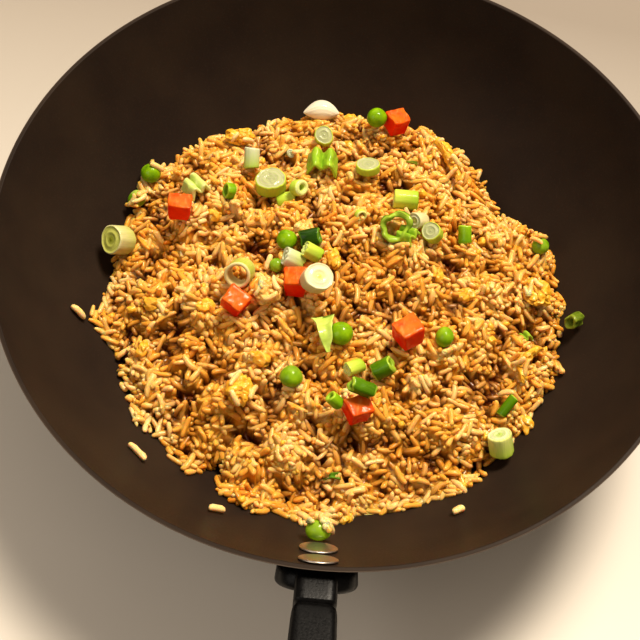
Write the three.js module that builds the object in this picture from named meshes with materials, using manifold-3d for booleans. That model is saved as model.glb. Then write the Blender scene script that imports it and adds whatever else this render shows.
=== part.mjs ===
// Fried rice heaped in a wok with one riveted handle.
// Millimetres, +Z up. The origin is the centre of the wok's flat base, on its underside,
// and the handle points along -Y.
import * as THREE from 'three';
import { mergeVertices } from 'three/addons/utils/BufferGeometryUtils.js';
import { ConvexGeometry } from 'three/addons/geometries/ConvexGeometry.js';
import Module from 'manifold-3d';

const wasm = await Module();
wasm.setup();

// ---- Driving dimensions: millimetres and degrees ----------------------------------------

const rimRadius = 130;        // outer edge of the rim
const wallThickness = 1.5;
const rimSlope = 62;          // slope of the wall at the rim, from level
const rimBand = 16;           // straight band of wall below the rim
const bowlRadius = 126;       // inner radius of the bowl's arc
const heelSlope = 20;         // slope where the bowl's arc meets the heel
const heelRadius = 22;        // inner radius of the heel's arc
const wokSides = 40;
const bowlSteps = 6;
const heelSteps = 2;

const gap = 0.35;             // between pieces that touch in the real thing
const rivetHeadRadius = 6.7;
const rivetHeadHeight = 0.7;
const rivetShankRadius = 2.4;
const rivetTailRadius = 4.2;
const rivetTailHeight = 1.4;
const rivetSides = 12;
const rivetFloor = 1.2;       // bracket left under the blind hole of the upper rivet

const bracketWidth = 28.5;
const bracketThickness = 8;
const bracketTop = 3;         // below the rim, along the wall
const bracketBottom = 39;
const bracketCorner = 9;      // radius of its lower corners
const bracketEdge = 3;        // rounding of its outer edges
const tongueWidth = 7;
const tongueThickness = 5;
const tongueLength = 15;

const gripRootWidth = 14.5;
const gripEndWidth = 23;
const gripLength = 168;
const gripRootDepth = 14;
const gripEndDepth = 17;
const gripChamfer = 2;
const gripRise = 18;          // slope of the handle above level
const gripDrop = 16;          // where the handle's axis leaves the wall, down from the rim
const tongueClearance = 0.35;

const riceRadius = 93;        // usual radius of the heap's edge
const ricePeak = 54;          // height of the dome's top above the origin
const riceFall = 20;          // fall of the dome from the middle to its edge
const riceEdgeDepth = 9;      // the heap is at least this deep until its steep edge
const riceSteepness = 14;     // the higher, the steeper the edge
const clumpCount = 150;       // clumps of stuck grains over the heap
const clumpSpread = 100;      // radius that they cover
const clumpRadius = [7.5, 12.5];
const clumpRange = 3.4;       // the highest clump stands this far above the lowest
const clumpDrop = 5.5;        // fall from a clump's top to its radius
const clumpFloor = -5;        // the deepest crevice between them
const grainLayer = 1.8;       // the bare core lies this far below the tops of the grains
const coreGrid = 32;
const coreMargin = 1.06;      // the core's grid runs this far past the heap's edge
const bumpHeight = 1.2;
const coreBottom = -20;       // below the wok, which cuts the core to its own inside

const grainLength = 8.2;
const grainWidth = 2.7;
const grainVariety = 1.4;     // grains are this much longer or shorter
const grainFlatness = 0.87;   // depth of a grain against its width
const grainPerch = 0.7;       // a fused grain's middle lies this far above the core
const grainSpread = 104;      // grains spread over the heap
const grainReach = 0.93;      // they cover this share of its radius
const grainShift = 2;         // each lies at most this far from its even place
const grainTilt = [0.5, 0.3]; // and rolls and pitches this much, in radians
const grainFringe = 40;       // grains that stick out round its edge
const fringeInset = 2.5;
const fringePitch = -0.5;     // they droop this much, in radians
const fringeTurn = 1;         // and turn at most this far from pointing straight out
const goldenAngle = 137.508;

// Down the wall from the rim. The handle's neck covers the upper rivet, so its hole is blind.
const rivets = [
  { name: 'rivet_upper', drop: 7, blind: true },
  { name: 'rivet_lower', drop: 25.5, blind: false },
];

// Lobes of the heap's outline: azimuth, extra radius and half width in degrees.
const riceLobes = [
  { azimuth: -168, reach: 7, width: 8 },
  { azimuth: -138, reach: 5, width: 10 },
  { azimuth: -124, reach: 5, width: 5 },
  { azimuth: -105, reach: 9, width: 20 },
  { azimuth: -117, reach: -10, width: 3 },
  { azimuth: -92, reach: 5, width: 6 },
  { azimuth: -60, reach: 6, width: 14 },
  { azimuth: -16, reach: 3, width: 7 },
  { azimuth: 19, reach: 4, width: 5 },
  { azimuth: 37, reach: -8, width: 13 },
  { azimuth: 148, reach: 5, width: 13 },
];

// Hollows and humps of the heap's surface: place, radius and height.
const riceRelief = [
  { x: -54, y: 4, radius: 13, height: -5 },
  { x: -70, y: -2, radius: 9, height: -3 },
  { x: -62, y: 30, radius: 12, height: 2 },
  { x: 22, y: 2, radius: 24, height: 2 },
  { x: 2, y: -44, radius: 14, height: -2.5 },
  { x: 60, y: 12, radius: 14, height: 2 },
  { x: 66, y: -30, radius: 12, height: -2.5 },
];

const peaRadius = 4.25;
const peaSquash = 0.94;       // height of a pea against its width
const carrotChamfer = 0.7;
const leafMiddle = 0.62;      // a leaf's width at its middle, against its widest
const leafFlare = 0.76;       // and how much wider its far end is than its tail

// ---- Toppings: place on the heap in plan, and the way each piece lies ------------------

const colours = {
  wok: 0x2b2521,
  handle: 0x0d0c0c,
  rivet: 0xb9b2a8,
  rice: 0xcf9a58,
  pea: 0x5b9e1c,
  carrot: 0xe2471a,
  egg: 0xeec050,
  bulb: 0xf2ecd6,
  pale: 0xc9d873,
  cream: 0xeceaa6,
  bright: 0x7cb51f,
  dark: 0x2f7014,
};

const peas = [
  { at: [-82, 45], radius: 4.2 },
  { at: [-86.5, 33.5], radius: 3.7 },
  { at: [-22, 6.5], radius: 4 },
  { at: [-25, -3.5], radius: 2.9 },
  { at: [2, -32], radius: 4.6 },
  { at: [-15, -50], radius: peaRadius },
  { at: [41, -28], radius: 3.9 },
  { at: [10, 77], radius: peaRadius },
  { at: [80.5, 25], radius: 3.6 },
  { at: [-0.5, -107.5], radius: 4 },
];

// turn: about X, Y and Z, in degrees.
const carrots = [
  { at: [-66, 20.5], size: [8.8, 7.6, 8.2], turn: [-12, 4, 4] },
  { at: [-39, -22.5], size: [8.6, 7.8, 8.8], turn: [8, 10, -32] },
  { at: [-17, -12.5], size: [8.5, 8, 9.5], turn: [-4, 0, 3] },
  { at: [27, -30], size: [9.2, 8.8, 9], turn: [-10, -4, 35] },
  { at: [10, -60.5], size: [8.8, 7.8, 8], turn: [-6, 10, 28] },
  { at: [18.5, 77.5], size: [8.2, 7.8, 8.4], turn: [-8, 8, 30] },
];

// log: a cut length of stem. ring: a hollow length. fold: a crumpled length. leaf: a cupped leaf.
// axis: azimuth and elevation of the end that faces up or out, in degrees.
const springOnions = [
  { kind: 'log', at: [-89.5, 9.5], axis: [-136, 46], across: 11.2, long: 9, colour: 'pale' },
  { kind: 'ring', at: [-38.5, -10], axis: [-109, 33], across: 11, long: 6, wall: 1.6, colour: 'pale' },
  { kind: 'log', at: [-9, -14], axis: [-28, 68], across: 11.2, long: 5.4, colour: 'cream' },
  { kind: 'log', at: [-18.5, -2], axis: [176, 30], across: 6.8, long: 7.6, colour: 'pale' },
  { kind: 'log', at: [-11.5, 0.5], axis: [170, 28], across: 6, long: 6.8, colour: 'pale' },
  { kind: 'ring', at: [-13, 7.5], axis: [11, 12], across: 6.6, long: 8, wall: 1.7, colour: 'dark' },
  { kind: 'log', at: [-31, 36], axis: [130, 84], across: 12, long: 5.4, colour: 'bright' },
  { kind: 'ring', at: [-19.5, 33.5], axis: [-25, 37], across: 7, long: 4.8, wall: 2.2, colour: 'bright' },
  { kind: 'fold', at: [-11, 46.5], axis: [-90, 0], across: 13.5, long: 9, wall: 1.5, colour: 'bright' },
  { kind: 'log', at: [-11.5, 64], axis: [-94, 73], across: 8, long: 3.6, colour: 'pale' },
  { kind: 'log', at: [-40, 48.5], axis: [93, 36], across: 6.6, long: 8, colour: 'pale' },
  { kind: 'fold', at: [-61.5, 33], axis: [-48, 8], across: 9.5, long: 8.4, wall: 1.6, colour: 'pale' },
  { kind: 'ring', at: [-47, 30], axis: [-168, 20], across: 7, long: 3.8, wall: 1.3, colour: 'dark' },
  { kind: 'log', at: [7.5, 46], axis: [100, 70], across: 9.4, long: 3.4, colour: 'pale' },
  { kind: 'log', at: [23.5, 31.5], axis: [-179, 1], across: 7.9, long: 9.2, colour: 'bright' },
  { kind: 'ring', at: [20, 15], axis: [-91, 52], across: 12, long: 5, wall: 2.2, colour: 'dark' },
  { kind: 'log', at: [29, 21.5], axis: [-147, 34], across: 6.6, long: 5.5, colour: 'cream' },
  { kind: 'log', at: [34.5, 16], axis: [-159, 63], across: 8, long: 4, colour: 'pale' },
  { kind: 'ring', at: [48, 20], axis: [97, 33], across: 5.2, long: 7.4, wall: 1.4, colour: 'bright' },
  { kind: 'leaf', at: [-4, -33], axis: [12, 4], across: 14.5, long: 8.5, wall: 1.1, colour: 'pale' },
  { kind: 'log', at: [8, -43.5], axis: [-146, 15], across: 5.6, long: 6.4, colour: 'pale' },
  { kind: 'ring', at: [18.5, -43], axis: [22, 30], across: 7, long: 8, wall: 1.8, colour: 'dark' },
  { kind: 'ring', at: [11, -55], axis: [173, 24], across: 6.4, long: 8.8, wall: 1.8, colour: 'dark' },
  { kind: 'ring', at: [1.5, -59], axis: [156, 38], across: 5.2, long: 5.4, wall: 1.5, colour: 'bright' },
  { kind: 'log', at: [65, -63], axis: [114, 52], across: 9.6, long: 7.8, colour: 'pale' },
  { kind: 'ring', at: [67.5, -47], axis: [53, 24], across: 3.8, long: 9, wall: 1.2, colour: 'dark' },
  { kind: 'ring', at: [94, -7], axis: [-143, 24], across: 6.2, long: 5.6, wall: 2, colour: 'dark' },
];

const bulbSlice = { at: [-13, 88.5], size: [16, 9, 8], turn: [0, 0, 4] };

const eggs = [
  { at: [-47, 65.5], size: [13, 8, 7], turn: [0, 0, 15], bend: 0 },
  { at: [-33.5, -55.5], size: [14, 10, 7], turn: [0, 0, 100], bend: 0 },
  { at: [79, 1], size: [13, 12, 7], turn: [0, 10, 60], bend: 0 },
  { at: [76.5, -29], size: [19, 4.5, 5], turn: [0, 0, 62], bend: 3.8 },
  { at: [40.5, 60.5], size: [24, 5, 6], turn: [0, 0, -62], bend: 1.8 },
  { at: [-27, -17.5], size: [12, 11, 8], turn: [0, 0, 20], bend: 0 },
];

// Grains that have rolled clear of the heap.
const strayGrains = [
  { at: [-99.5, -25], azimuth: 170, length: 7.5 },
  { at: [-67.5, -82], azimuth: -42, length: 9.2 },
  { at: [-36.5, -101.5], azimuth: 28, length: 6.4 },
  { at: [49, -92.5], azimuth: 35, length: 5 },
];

// ---- Small helpers ----------------------------------------------------------------------

const toRadians = THREE.MathUtils.degToRad;
const clamp = THREE.MathUtils.clamp;

// Repeatable random numbers in 0..1.
function seededRandom(seed) {
  let state = seed;
  return () => {
    state = (state * 1664525 + 1013904223) % 4294967296;
    return state / 4294967296;
  };
}

// A closed three.js geometry as a manifold solid.
function toSolid(geometry) {
  const bare = geometry.clone();
  bare.deleteAttribute('normal');
  bare.deleteAttribute('uv');
  const merged = mergeVertices(bare, 1e-4);
  const corners = merged.index.array;
  const kept = [];
  for (let i = 0; i < corners.length; i += 3) {
    const [a, b, c] = [corners[i], corners[i + 1], corners[i + 2]];
    if (a !== b && b !== c && c !== a) kept.push(a, b, c);
  }
  return new wasm.Manifold(new wasm.Mesh({
    numProp: 3,
    vertProperties: new Float32Array(merged.attributes.position.array),
    triVerts: new Uint32Array(kept),
  }));
}

function toGeometry(solid) {
  const { vertProperties, triVerts } = solid.getMesh();
  const geometry = new THREE.BufferGeometry();
  geometry.setAttribute('position', new THREE.BufferAttribute(vertProperties, 3));
  geometry.setIndex(new THREE.BufferAttribute(triVerts, 1));
  geometry.computeVertexNormals();
  return geometry;
}

function makeMesh(name, geometry, colour, roughness = 0.5, metalness = 0) {
  const material = new THREE.MeshStandardMaterial({ color: colour, roughness, metalness });
  const mesh = new THREE.Mesh(geometry, material);
  mesh.name = name;
  return mesh;
}

// The mesh's solid where the mesh stands.
function placedSolid(mesh) {
  mesh.updateMatrix();
  return toSolid(mesh.geometry.clone().applyMatrix4(mesh.matrix));
}

// Moves every corner of a geometry by a function.
function reshape(geometry, change) {
  const place = geometry.attributes.position;
  const corner = new THREE.Vector3();
  for (let i = 0; i < place.count; i += 1) {
    corner.fromBufferAttribute(place, i);
    change(corner);
    place.setXYZ(i, corner.x, corner.y, corner.z);
  }
  return geometry;
}

// A profile of [radius, height] points turned about +Z.
function lathe(profile, sides) {
  return new THREE.LatheGeometry(profile, sides).rotateX(Math.PI / 2);
}

// Turns a piece so that its own +Z points along an azimuth and elevation, its +Y as far up as can be.
function attitude([azimuth, elevation]) {
  const flat = Math.cos(toRadians(elevation));
  const axis = new THREE.Vector3(
    flat * Math.cos(toRadians(azimuth)),
    flat * Math.sin(toRadians(azimuth)),
    Math.sin(toRadians(elevation)),
  );
  const side = new THREE.Vector3(0, 0, 1).cross(axis).normalize();
  const up = axis.clone().cross(side);
  return new THREE.Quaternion().setFromRotationMatrix(new THREE.Matrix4().makeBasis(side, up, axis));
}

const eulerOf = (turn) => new THREE.Euler(...turn.map(toRadians));

// ---- Wok --------------------------------------------------------------------------------

const rimLean = toRadians(rimSlope);
const heelLean = toRadians(heelSlope);
const innerRim = rimRadius - wallThickness / Math.sin(rimLean);
const wokDepth = rimBand * Math.sin(rimLean)
  + bowlRadius * (Math.cos(heelLean) - Math.cos(rimLean))
  + heelRadius * (1 - Math.cos(heelLean));
const rimHeight = wokDepth + wallThickness;

// The spot at a distance down the inner face from the rim, with the wall's slope there.
function wallSpot(distance) {
  const straight = Math.min(distance, rimBand);
  const slope = rimLean - Math.max(distance - rimBand, 0) / bowlRadius;
  return {
    slope,
    radius: innerRim - straight * Math.cos(rimLean) - bowlRadius * (Math.sin(rimLean) - Math.sin(slope)),
    height: rimHeight - straight * Math.sin(rimLean) - bowlRadius * (Math.cos(slope) - Math.cos(rimLean)),
  };
}

// Height and slope of the inner face at a radius outside the heel.
function wallAt(radius) {
  const bandRadius = innerRim - rimBand * Math.cos(rimLean);
  if (radius > bandRadius) {
    return { slope: rimLean, height: rimHeight - (innerRim - radius) * Math.tan(rimLean) };
  }
  const sine = Math.sin(rimLean) - (bandRadius - radius) / bowlRadius;
  const slope = Math.asin(Math.max(sine, Math.sin(heelLean)));
  return { slope, height: wallSpot(rimBand + bowlRadius * (rimLean - slope)).height };
}

// The wall's face from the rim to the axis, moved out along its normal by an offset.
function wallCurve(offset) {
  const points = [new THREE.Vector2(innerRim + offset / Math.sin(rimLean), rimHeight)];
  const add = (radius, height, slope) => {
    points.push(new THREE.Vector2(radius + offset * Math.sin(slope), height - offset * Math.cos(slope)));
  };
  const bowlLength = bowlRadius * (rimLean - heelLean);
  let spot;
  for (let i = 0; i <= bowlSteps; i += 1) {
    spot = wallSpot(rimBand + (bowlLength * i) / bowlSteps);
    add(spot.radius, spot.height, spot.slope);
  }
  for (let i = 1; i <= heelSteps; i += 1) {
    const slope = heelLean * (1 - i / heelSteps);
    add(
      spot.radius - heelRadius * (Math.sin(heelLean) - Math.sin(slope)),
      spot.height - heelRadius * (Math.cos(slope) - Math.cos(heelLean)),
      slope,
    );
  }
  points.push(new THREE.Vector2(0, wallThickness - offset));
  return points;
}

const bracketFace = wallThickness + gap + bracketThickness;

// The peg that cuts a rivet's hole: through everything, or short of the bracket's face.
function rivetHole({ drop, blind }) {
  const { radius, height, slope } = wallSpot(drop);
  const reach = blind ? bracketFace - rivetFloor : 3 * bracketFace;
  const holeRadius = rivetShankRadius + gap;
  const peg = new THREE.CylinderGeometry(holeRadius, holeRadius, 2 * reach, rivetSides);
  return toSolid(peg.rotateX(Math.PI / 2 - slope).translate(0, -radius, height));
}

function makePan() {
  const profile = [...wallCurve(wallThickness).reverse(), ...wallCurve(0)];
  let pan = toSolid(lathe(profile, wokSides));
  for (const rivet of rivets) pan = pan.subtract(rivetHole(rivet));
  return makeMesh('wok_pan', toGeometry(pan), colours.wok, 0.45, 0.3);
}

// ---- Handle -----------------------------------------------------------------------------

const gripStart = wallSpot(gripDrop);
const gripOut = new THREE.Vector3(0, -gripStart.radius, gripStart.height);

// Lays a piece made along +X, with its width along Y, out along the handle.
function alongHandle(geometry) {
  return geometry
    .rotateZ(-Math.PI / 2)
    .rotateX(-toRadians(gripRise))
    .translate(gripOut.x, gripOut.y, gripOut.z);
}

// A block along the handle, from one distance to another.
function handleBlock(from, to, width, depth) {
  const block = new THREE.BoxGeometry(to - from, width, depth).translate((from + to) / 2, 0, 0);
  return toSolid(alongHandle(block));
}

// The grip starts where its whole root is clear of the bracket's sloping face.
const gripLean = Math.PI / 2 - rimLean + toRadians(gripRise);
const gripFrom = (bracketFace + (gripRootDepth / 2) * Math.sin(gripLean)) / Math.cos(gripLean) + gap;

// A plate laid on the wall below the rim: square above, round below, with soft outer edges.
function bracketPlate() {
  const half = bracketWidth / 2 - bracketEdge;
  const top = bracketTop + bracketEdge;
  const bottom = bracketBottom - bracketEdge;
  const corner = bracketCorner - bracketEdge;
  const face = new THREE.Shape();
  face.moveTo(-half, top);
  face.lineTo(half, top);
  face.lineTo(half, bottom - corner);
  face.absarc(half - corner, bottom - corner, corner, 0, Math.PI / 2, false);
  face.lineTo(corner - half, bottom);
  face.absarc(corner - half, bottom - corner, corner, Math.PI / 2, Math.PI, false);
  const plate = new THREE.ExtrudeGeometry(face, {
    depth: bracketFace,
    bevelThickness: bracketEdge,
    bevelSize: bracketEdge,
    bevelSegments: 2,
    curveSegments: 3,
  });
  plate.translate(0, 0, bracketEdge - bracketFace);
  return toSolid(plate.rotateX(-rimLean).translate(0, -innerRim, rimHeight));
}

// Everything inside the wok's outer face, with the gap round it.
function wokEnvelope() {
  const outside = wallCurve(wallThickness + gap).reverse();
  return toSolid(lathe([...outside, new THREE.Vector2(0, rimHeight)], wokSides));
}

function makeBracket() {
  const root = bracketFace - bracketEdge;
  const tongue = handleBlock(root, gripFrom + tongueLength, tongueWidth, tongueThickness);
  const neck = handleBlock(root, gripFrom - gap, gripRootWidth, gripRootDepth - gripChamfer);
  let bracket = bracketPlate().add(neck).add(tongue).subtract(wokEnvelope());
  for (const rivet of rivets) bracket = bracket.subtract(rivetHole(rivet));
  return makeMesh('handle_bracket', toGeometry(bracket), colours.handle, 0.4, 0.2);
}

// A bar with chamfered edges that widens and deepens to a round end, with a socket at its root.
function makeGrip() {
  const half = gripRootWidth / 2 - gripChamfer;
  const endHalf = gripEndWidth / 2 - gripChamfer;
  const length = gripLength - gripChamfer;
  const outline = new THREE.Shape();
  outline.moveTo(gripChamfer, -half);
  outline.lineTo(length - endHalf, -endHalf);
  outline.absarc(length - endHalf, 0, endHalf, -Math.PI / 2, Math.PI / 2, false);
  outline.lineTo(gripChamfer, half);
  const bar = new THREE.ExtrudeGeometry(outline, {
    depth: gripRootDepth - 2 * gripChamfer,
    bevelThickness: gripChamfer,
    bevelSize: gripChamfer,
    bevelSegments: 1,
    curveSegments: 8,
  });
  bar.translate(0, 0, gripChamfer - gripRootDepth / 2);
  reshape(bar, (corner) => {
    const along = clamp(corner.x / gripLength, 0, 1);
    corner.z *= 1 + (gripEndDepth / gripRootDepth - 1) * along;
    corner.x += gripFrom;
  });
  const socket = handleBlock(
    gripFrom - 1,
    gripFrom + tongueLength + tongueClearance,
    tongueWidth + 2 * tongueClearance,
    tongueThickness + 2 * tongueClearance,
  );
  const grip = toSolid(alongHandle(bar)).subtract(socket);
  return makeMesh('handle_grip', toGeometry(grip), colours.handle, 0.35, 0);
}

// Domed head inside the wok and a shank through the wall, with a flattened tail outside the
// bracket where the hole goes through.
function makeRivet({ name, drop, blind }) {
  const headFoot = 0.95;      // the flat head bridges the hollow of the wall
  const fallAway = Math.max(drop - rimBand, 0) ** 2 / bowlRadius;
  const tail = -(bracketFace + fallAway + gap);
  const point = (radius, height) => new THREE.Vector2(radius, height);
  const foot = blind
    ? [point(0, rivetFloor + gap - bracketFace)]
    : [
      point(0, tail - rivetTailHeight),
      point(rivetTailRadius * 0.8, tail - rivetTailHeight),
      point(rivetTailRadius, tail),
    ];
  const head = [
    point(rivetShankRadius, headFoot),
    point(rivetHeadRadius, headFoot),
    point(rivetHeadRadius, headFoot + rivetHeadHeight * 0.4),
    point(rivetHeadRadius * 0.8, headFoot + rivetHeadHeight * 0.8),
    point(0, headFoot + rivetHeadHeight),
  ];
  const shankEnd = point(rivetShankRadius, foot.at(-1).y);
  const rivet = makeMesh(name, lathe([...foot, shankEnd, ...head], rivetSides), colours.rivet, 0.25, 0.9);
  const { radius, height, slope } = wallSpot(drop);
  rivet.position.set(0, -radius, height);
  rivet.rotation.x = -slope;
  return rivet;
}

// ---- Rice -------------------------------------------------------------------------------

// Radius of the heap's edge at an azimuth.
function riceEdge(azimuth) {
  let radius = riceRadius;
  for (const lobe of riceLobes) {
    const turn = azimuth - toRadians(lobe.azimuth);
    const away = Math.atan2(Math.sin(turn), Math.cos(turn));
    radius += lobe.reach * Math.exp(-((away / toRadians(lobe.width)) ** 2));
  }
  return radius;
}

// A repeatable number in 0..1 for a clump and a use.
function clumpShare(index, use) {
  const value = Math.sin(index * 127.1 + use * 311.7) * 43758.5453;
  return value - Math.floor(value);
}

// Clumps of stuck grains: an even spiral with each place, radius and height varied.
const clumps = Array.from({ length: clumpCount }, (_, i) => {
  const azimuth = i * toRadians(goldenAngle);
  const away = clumpSpread * Math.sqrt((i + 0.5) / clumpCount);
  const [narrow, wide] = clumpRadius;
  const shift = 0.4 * wide;   // furthest that a clump's middle lies from its even place
  return {
    x: away * Math.cos(azimuth) + shift * (2 * clumpShare(i, 1) - 1),
    y: away * Math.sin(azimuth) + shift * (2 * clumpShare(i, 2) - 1),
    radius: narrow + (wide - narrow) * clumpShare(i, 3),
    height: clumpRange * (clumpShare(i, 4) - 0.5),
  };
});

// Height of the highest clump over a spot: each falls with the square of the distance from its middle.
function clumpHeight(x, y) {
  let height = clumpFloor;
  for (const clump of clumps) {
    const away = Math.hypot(x - clump.x, y - clump.y) / clump.radius;
    height = Math.max(height, clump.height - clumpDrop * away ** 2);
  }
  return height;
}

// Height of the bare core: a dome with a steep edge on the wall, clumps, and the named hollows and humps.
function coreTop(x, y) {
  const radius = Math.hypot(x, y);
  const out = radius / riceEdge(Math.atan2(y, x));
  const wall = wallAt(radius).height;
  const depth = Math.max(ricePeak - riceFall * out ** 2 - wall, riceEdgeDepth);
  let height = wall + depth * Math.sqrt(Math.max(1 - out ** riceSteepness, 0)) - grainLayer;
  height += clumpHeight(x, y);
  for (const spot of riceRelief) {
    const away = Math.hypot(x - spot.x, y - spot.y) / spot.radius;
    height += spot.height * Math.exp(-(away ** 2));
  }
  return height;
}

// Equal-area map of the square -1..1 to the unit disc.
function squareToDisc(a, b) {
  if (a === 0 && b === 0) return [0, 0];
  const wide = Math.abs(a) > Math.abs(b);
  const radius = wide ? a : b;
  const angle = wide ? (Math.PI / 4) * (b / a) : Math.PI / 2 - (Math.PI / 4) * (a / b);
  return [radius * Math.cos(angle), radius * Math.sin(angle)];
}

// The bumpy slab of rice, cut to the inside of the wok.
function makeCore() {
  const random = seededRandom(7);
  const slab = new THREE.BoxGeometry(2, 2, 2, coreGrid, coreGrid, 1);
  slab.deleteAttribute('normal');
  slab.deleteAttribute('uv');
  const merged = mergeVertices(slab, 1e-4);
  reshape(merged, (corner) => {
    const [a, b] = squareToDisc(corner.x, corner.y);
    const reach = coreMargin * riceEdge(Math.atan2(b, a));
    corner.x = a * reach;
    corner.y = b * reach;
    const bump = bumpHeight * (2 * random() - 1);
    corner.z = corner.z > 0 ? coreTop(corner.x, corner.y) + bump : coreBottom;
  });
  const inside = [...wallCurve(-gap).reverse(), new THREE.Vector2(0, rimHeight)];
  return toSolid(merged).intersect(toSolid(lathe(inside, wokSides)));
}

// One grain along its own X: a long rounded body with blunt ends.
function grainGeometry(length) {
  return new THREE.SphereGeometry(1, 5, 4)
    .rotateZ(Math.PI / 2)
    .scale(length / 2, grainWidth / 2, (grainFlatness * grainWidth) / 2);
}

function makeGrain(name, length) {
  return makeMesh(name, grainGeometry(length), colours.rice, 0.5);
}

// ---- Setting pieces down ----------------------------------------------------------------

const nearby = 20;            // pieces further off than this in plan can't touch
const dropHeight = 24;
const dropSteps = [4, 1, 0.2];

const overlaps = (solid, others) => others.some((other) => solid.intersect(other).volume() > 1e-6);

// Lowers a piece from above on to whatever lies under it, then leaves the small gap.
function settle(mesh, [x, y], beds) {
  const near = beds.filter((bed) => {
    const { min, max } = bed.boundingBox();
    return min[0] < x + nearby && max[0] > x - nearby && min[1] < y + nearby && max[1] > y - nearby;
  });
  const ground = Math.max(coreTop(x, y), wallAt(Math.hypot(x, y)).height);
  mesh.position.set(x, y, ground + dropHeight);
  for (const step of dropSteps) {
    while (!overlaps(placedSolid(mesh), near)) mesh.position.z -= step;
    mesh.position.z += step;
  }
  mesh.position.z += gap - dropSteps.at(-1) / 2;
}

// ---- Toppings ---------------------------------------------------------------------------

function makePea(name, { radius }) {
  const ball = new THREE.IcosahedronGeometry(radius, 1).scale(1, 1, peaSquash);
  return makeMesh(name, ball, colours.pea, 0.3);
}

// A diced cube with small chamfers: the hull of three corner points at each corner.
function makeCarrot(name, { size, turn }) {
  const points = [];
  const [a, b, c] = size.map((side) => side / 2);
  for (const x of [-1, 1]) {
    for (const y of [-1, 1]) {
      for (const z of [-1, 1]) {
        const lean = 1 + 0.05 * x * y + 0.04 * z;
        points.push(new THREE.Vector3(x * a * lean, y * (b - carrotChamfer), z * (c - carrotChamfer)));
        points.push(new THREE.Vector3(x * (a * lean - carrotChamfer), y * b, z * (c - carrotChamfer)));
        points.push(new THREE.Vector3(x * (a * lean - carrotChamfer), y * (b - carrotChamfer), z * c));
      }
    }
  }
  const die = makeMesh(name, new ConvexGeometry(points), colours.carrot, 0.4);
  die.setRotationFromEuler(eulerOf(turn));
  return die;
}

const onionSides = 10;

function logGeometry({ across, long }) {
  const radius = across / 2;
  const point = (share, height) => new THREE.Vector2(radius * share, height * long);
  const side = [point(0.94, -0.5), point(1, 0), point(0.95, 0.5)];
  return lathe([point(0, -0.5), ...side, point(0, 0.5)], onionSides);
}

function ringGeometry({ across, long, wall }) {
  const outer = across / 2;
  const inner = outer - wall;
  const half = long / 2;
  const loop = [[inner, -half], [outer, -half], [outer, half], [inner, half], [inner, -half]];
  return lathe(loop.map(([radius, height]) => new THREE.Vector2(radius, height)), onionSides);
}

// A strip of even thickness that follows a path, extruded by its length.
function bandGeometry(path, wall, long) {
  const steps = 9;
  const outer = [];
  const inner = [];
  for (let i = 0; i <= steps; i += 1) {
    const here = path(i / steps);
    const before = path((i - 0.01) / steps);
    const after = path((i + 0.01) / steps);
    const normal = new THREE.Vector2(before.y - after.y, after.x - before.x).setLength(wall / 2);
    outer.push(here.clone().add(normal));
    inner.push(here.clone().sub(normal));
  }
  const shape = new THREE.Shape([...outer, ...inner.reverse()]);
  return new THREE.ExtrudeGeometry(shape, { depth: long, bevelEnabled: false }).translate(0, 0, -long / 2);
}

// Crumpled length: two humps side by side.
function foldGeometry({ across, long, wall }) {
  const path = (t) => new THREE.Vector2(
    across * (t - 0.5) * 0.9,
    across * (0.16 * Math.cos(4 * Math.PI * (t - 0.25)) - 0.25 * (2 * t - 1) ** 2),
  );
  return bandGeometry(path, wall, long);
}

// Cupped leaf that narrows to a tail.
function leafGeometry({ across, long, wall }) {
  const path = (t) => new THREE.Vector2(across * (t - 0.5), 0.22 * across * Math.sin(Math.PI * t) ** 2);
  return reshape(bandGeometry(path, wall, long), (corner) => {
    corner.z *= leafMiddle + (leafFlare * corner.x) / across;
  });
}

const onionShapes = {
  log: logGeometry,
  ring: ringGeometry,
  fold: foldGeometry,
  leaf: leafGeometry,
};

function makeSpringOnion(name, piece) {
  const mesh = makeMesh(name, onionShapes[piece.kind](piece), colours[piece.colour], 0.4);
  mesh.quaternion.copy(attitude(piece.axis));
  return mesh;
}

// An uneven lump, arched by bend in the middle.
function makeLump(name, { size, turn, bend = 0 }, colour, roughness) {
  const seed = size[0] + size[1];
  const lump = reshape(new THREE.IcosahedronGeometry(1, 1), (corner) => {
    const swell = 0.9 + 0.1 * Math.sin(5 * corner.x + seed) * Math.cos(4 * corner.y - seed)
      + 0.08 * Math.sin(6 * corner.z + 3 * corner.x);
    const taper = 1 - 0.35 * Math.abs(corner.x) ** 3;
    corner.set(
      (size[0] / 2) * corner.x * swell,
      (size[1] / 2) * corner.y * swell * taper + bend * (1 - corner.x ** 2),
      (size[2] / 2) * corner.z * swell * taper,
    );
  });
  const mesh = makeMesh(name, lump, colour, roughness);
  mesh.setRotationFromEuler(eulerOf(turn));
  return mesh;
}

const numbered = (word, index) => `${word}_${String(index + 1).padStart(2, '0')}`;

// ---- Assembly ---------------------------------------------------------------------------

const wok = new THREE.Group();
const pan = makePan();
wok.add(pan, makeBracket(), makeGrip(), ...rivets.map(makeRivet));

const core = makeCore();
const panSolid = placedSolid(pan);
const beds = [core, panSolid, ...wok.children.filter((mesh) => mesh !== pan).map(placedSolid)];

const toppings = new THREE.Group();
function lay(mesh, { at }) {
  settle(mesh, at, beds);
  beds.push(placedSolid(mesh));
  toppings.add(mesh);
}

// A grain turned to lie flat on the wall of the wok.
function makeStrayGrain(name, { at: [x, y], azimuth, length }) {
  const grain = makeGrain(name, length);
  const away = Math.hypot(x, y);
  const normal = new THREE.Vector3(-x, -y, away / Math.tan(wallAt(away).slope)).normalize();
  grain.quaternion.setFromUnitVectors(new THREE.Vector3(0, 0, 1), normal);
  grain.rotateZ(toRadians(azimuth));
  return grain;
}

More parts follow.
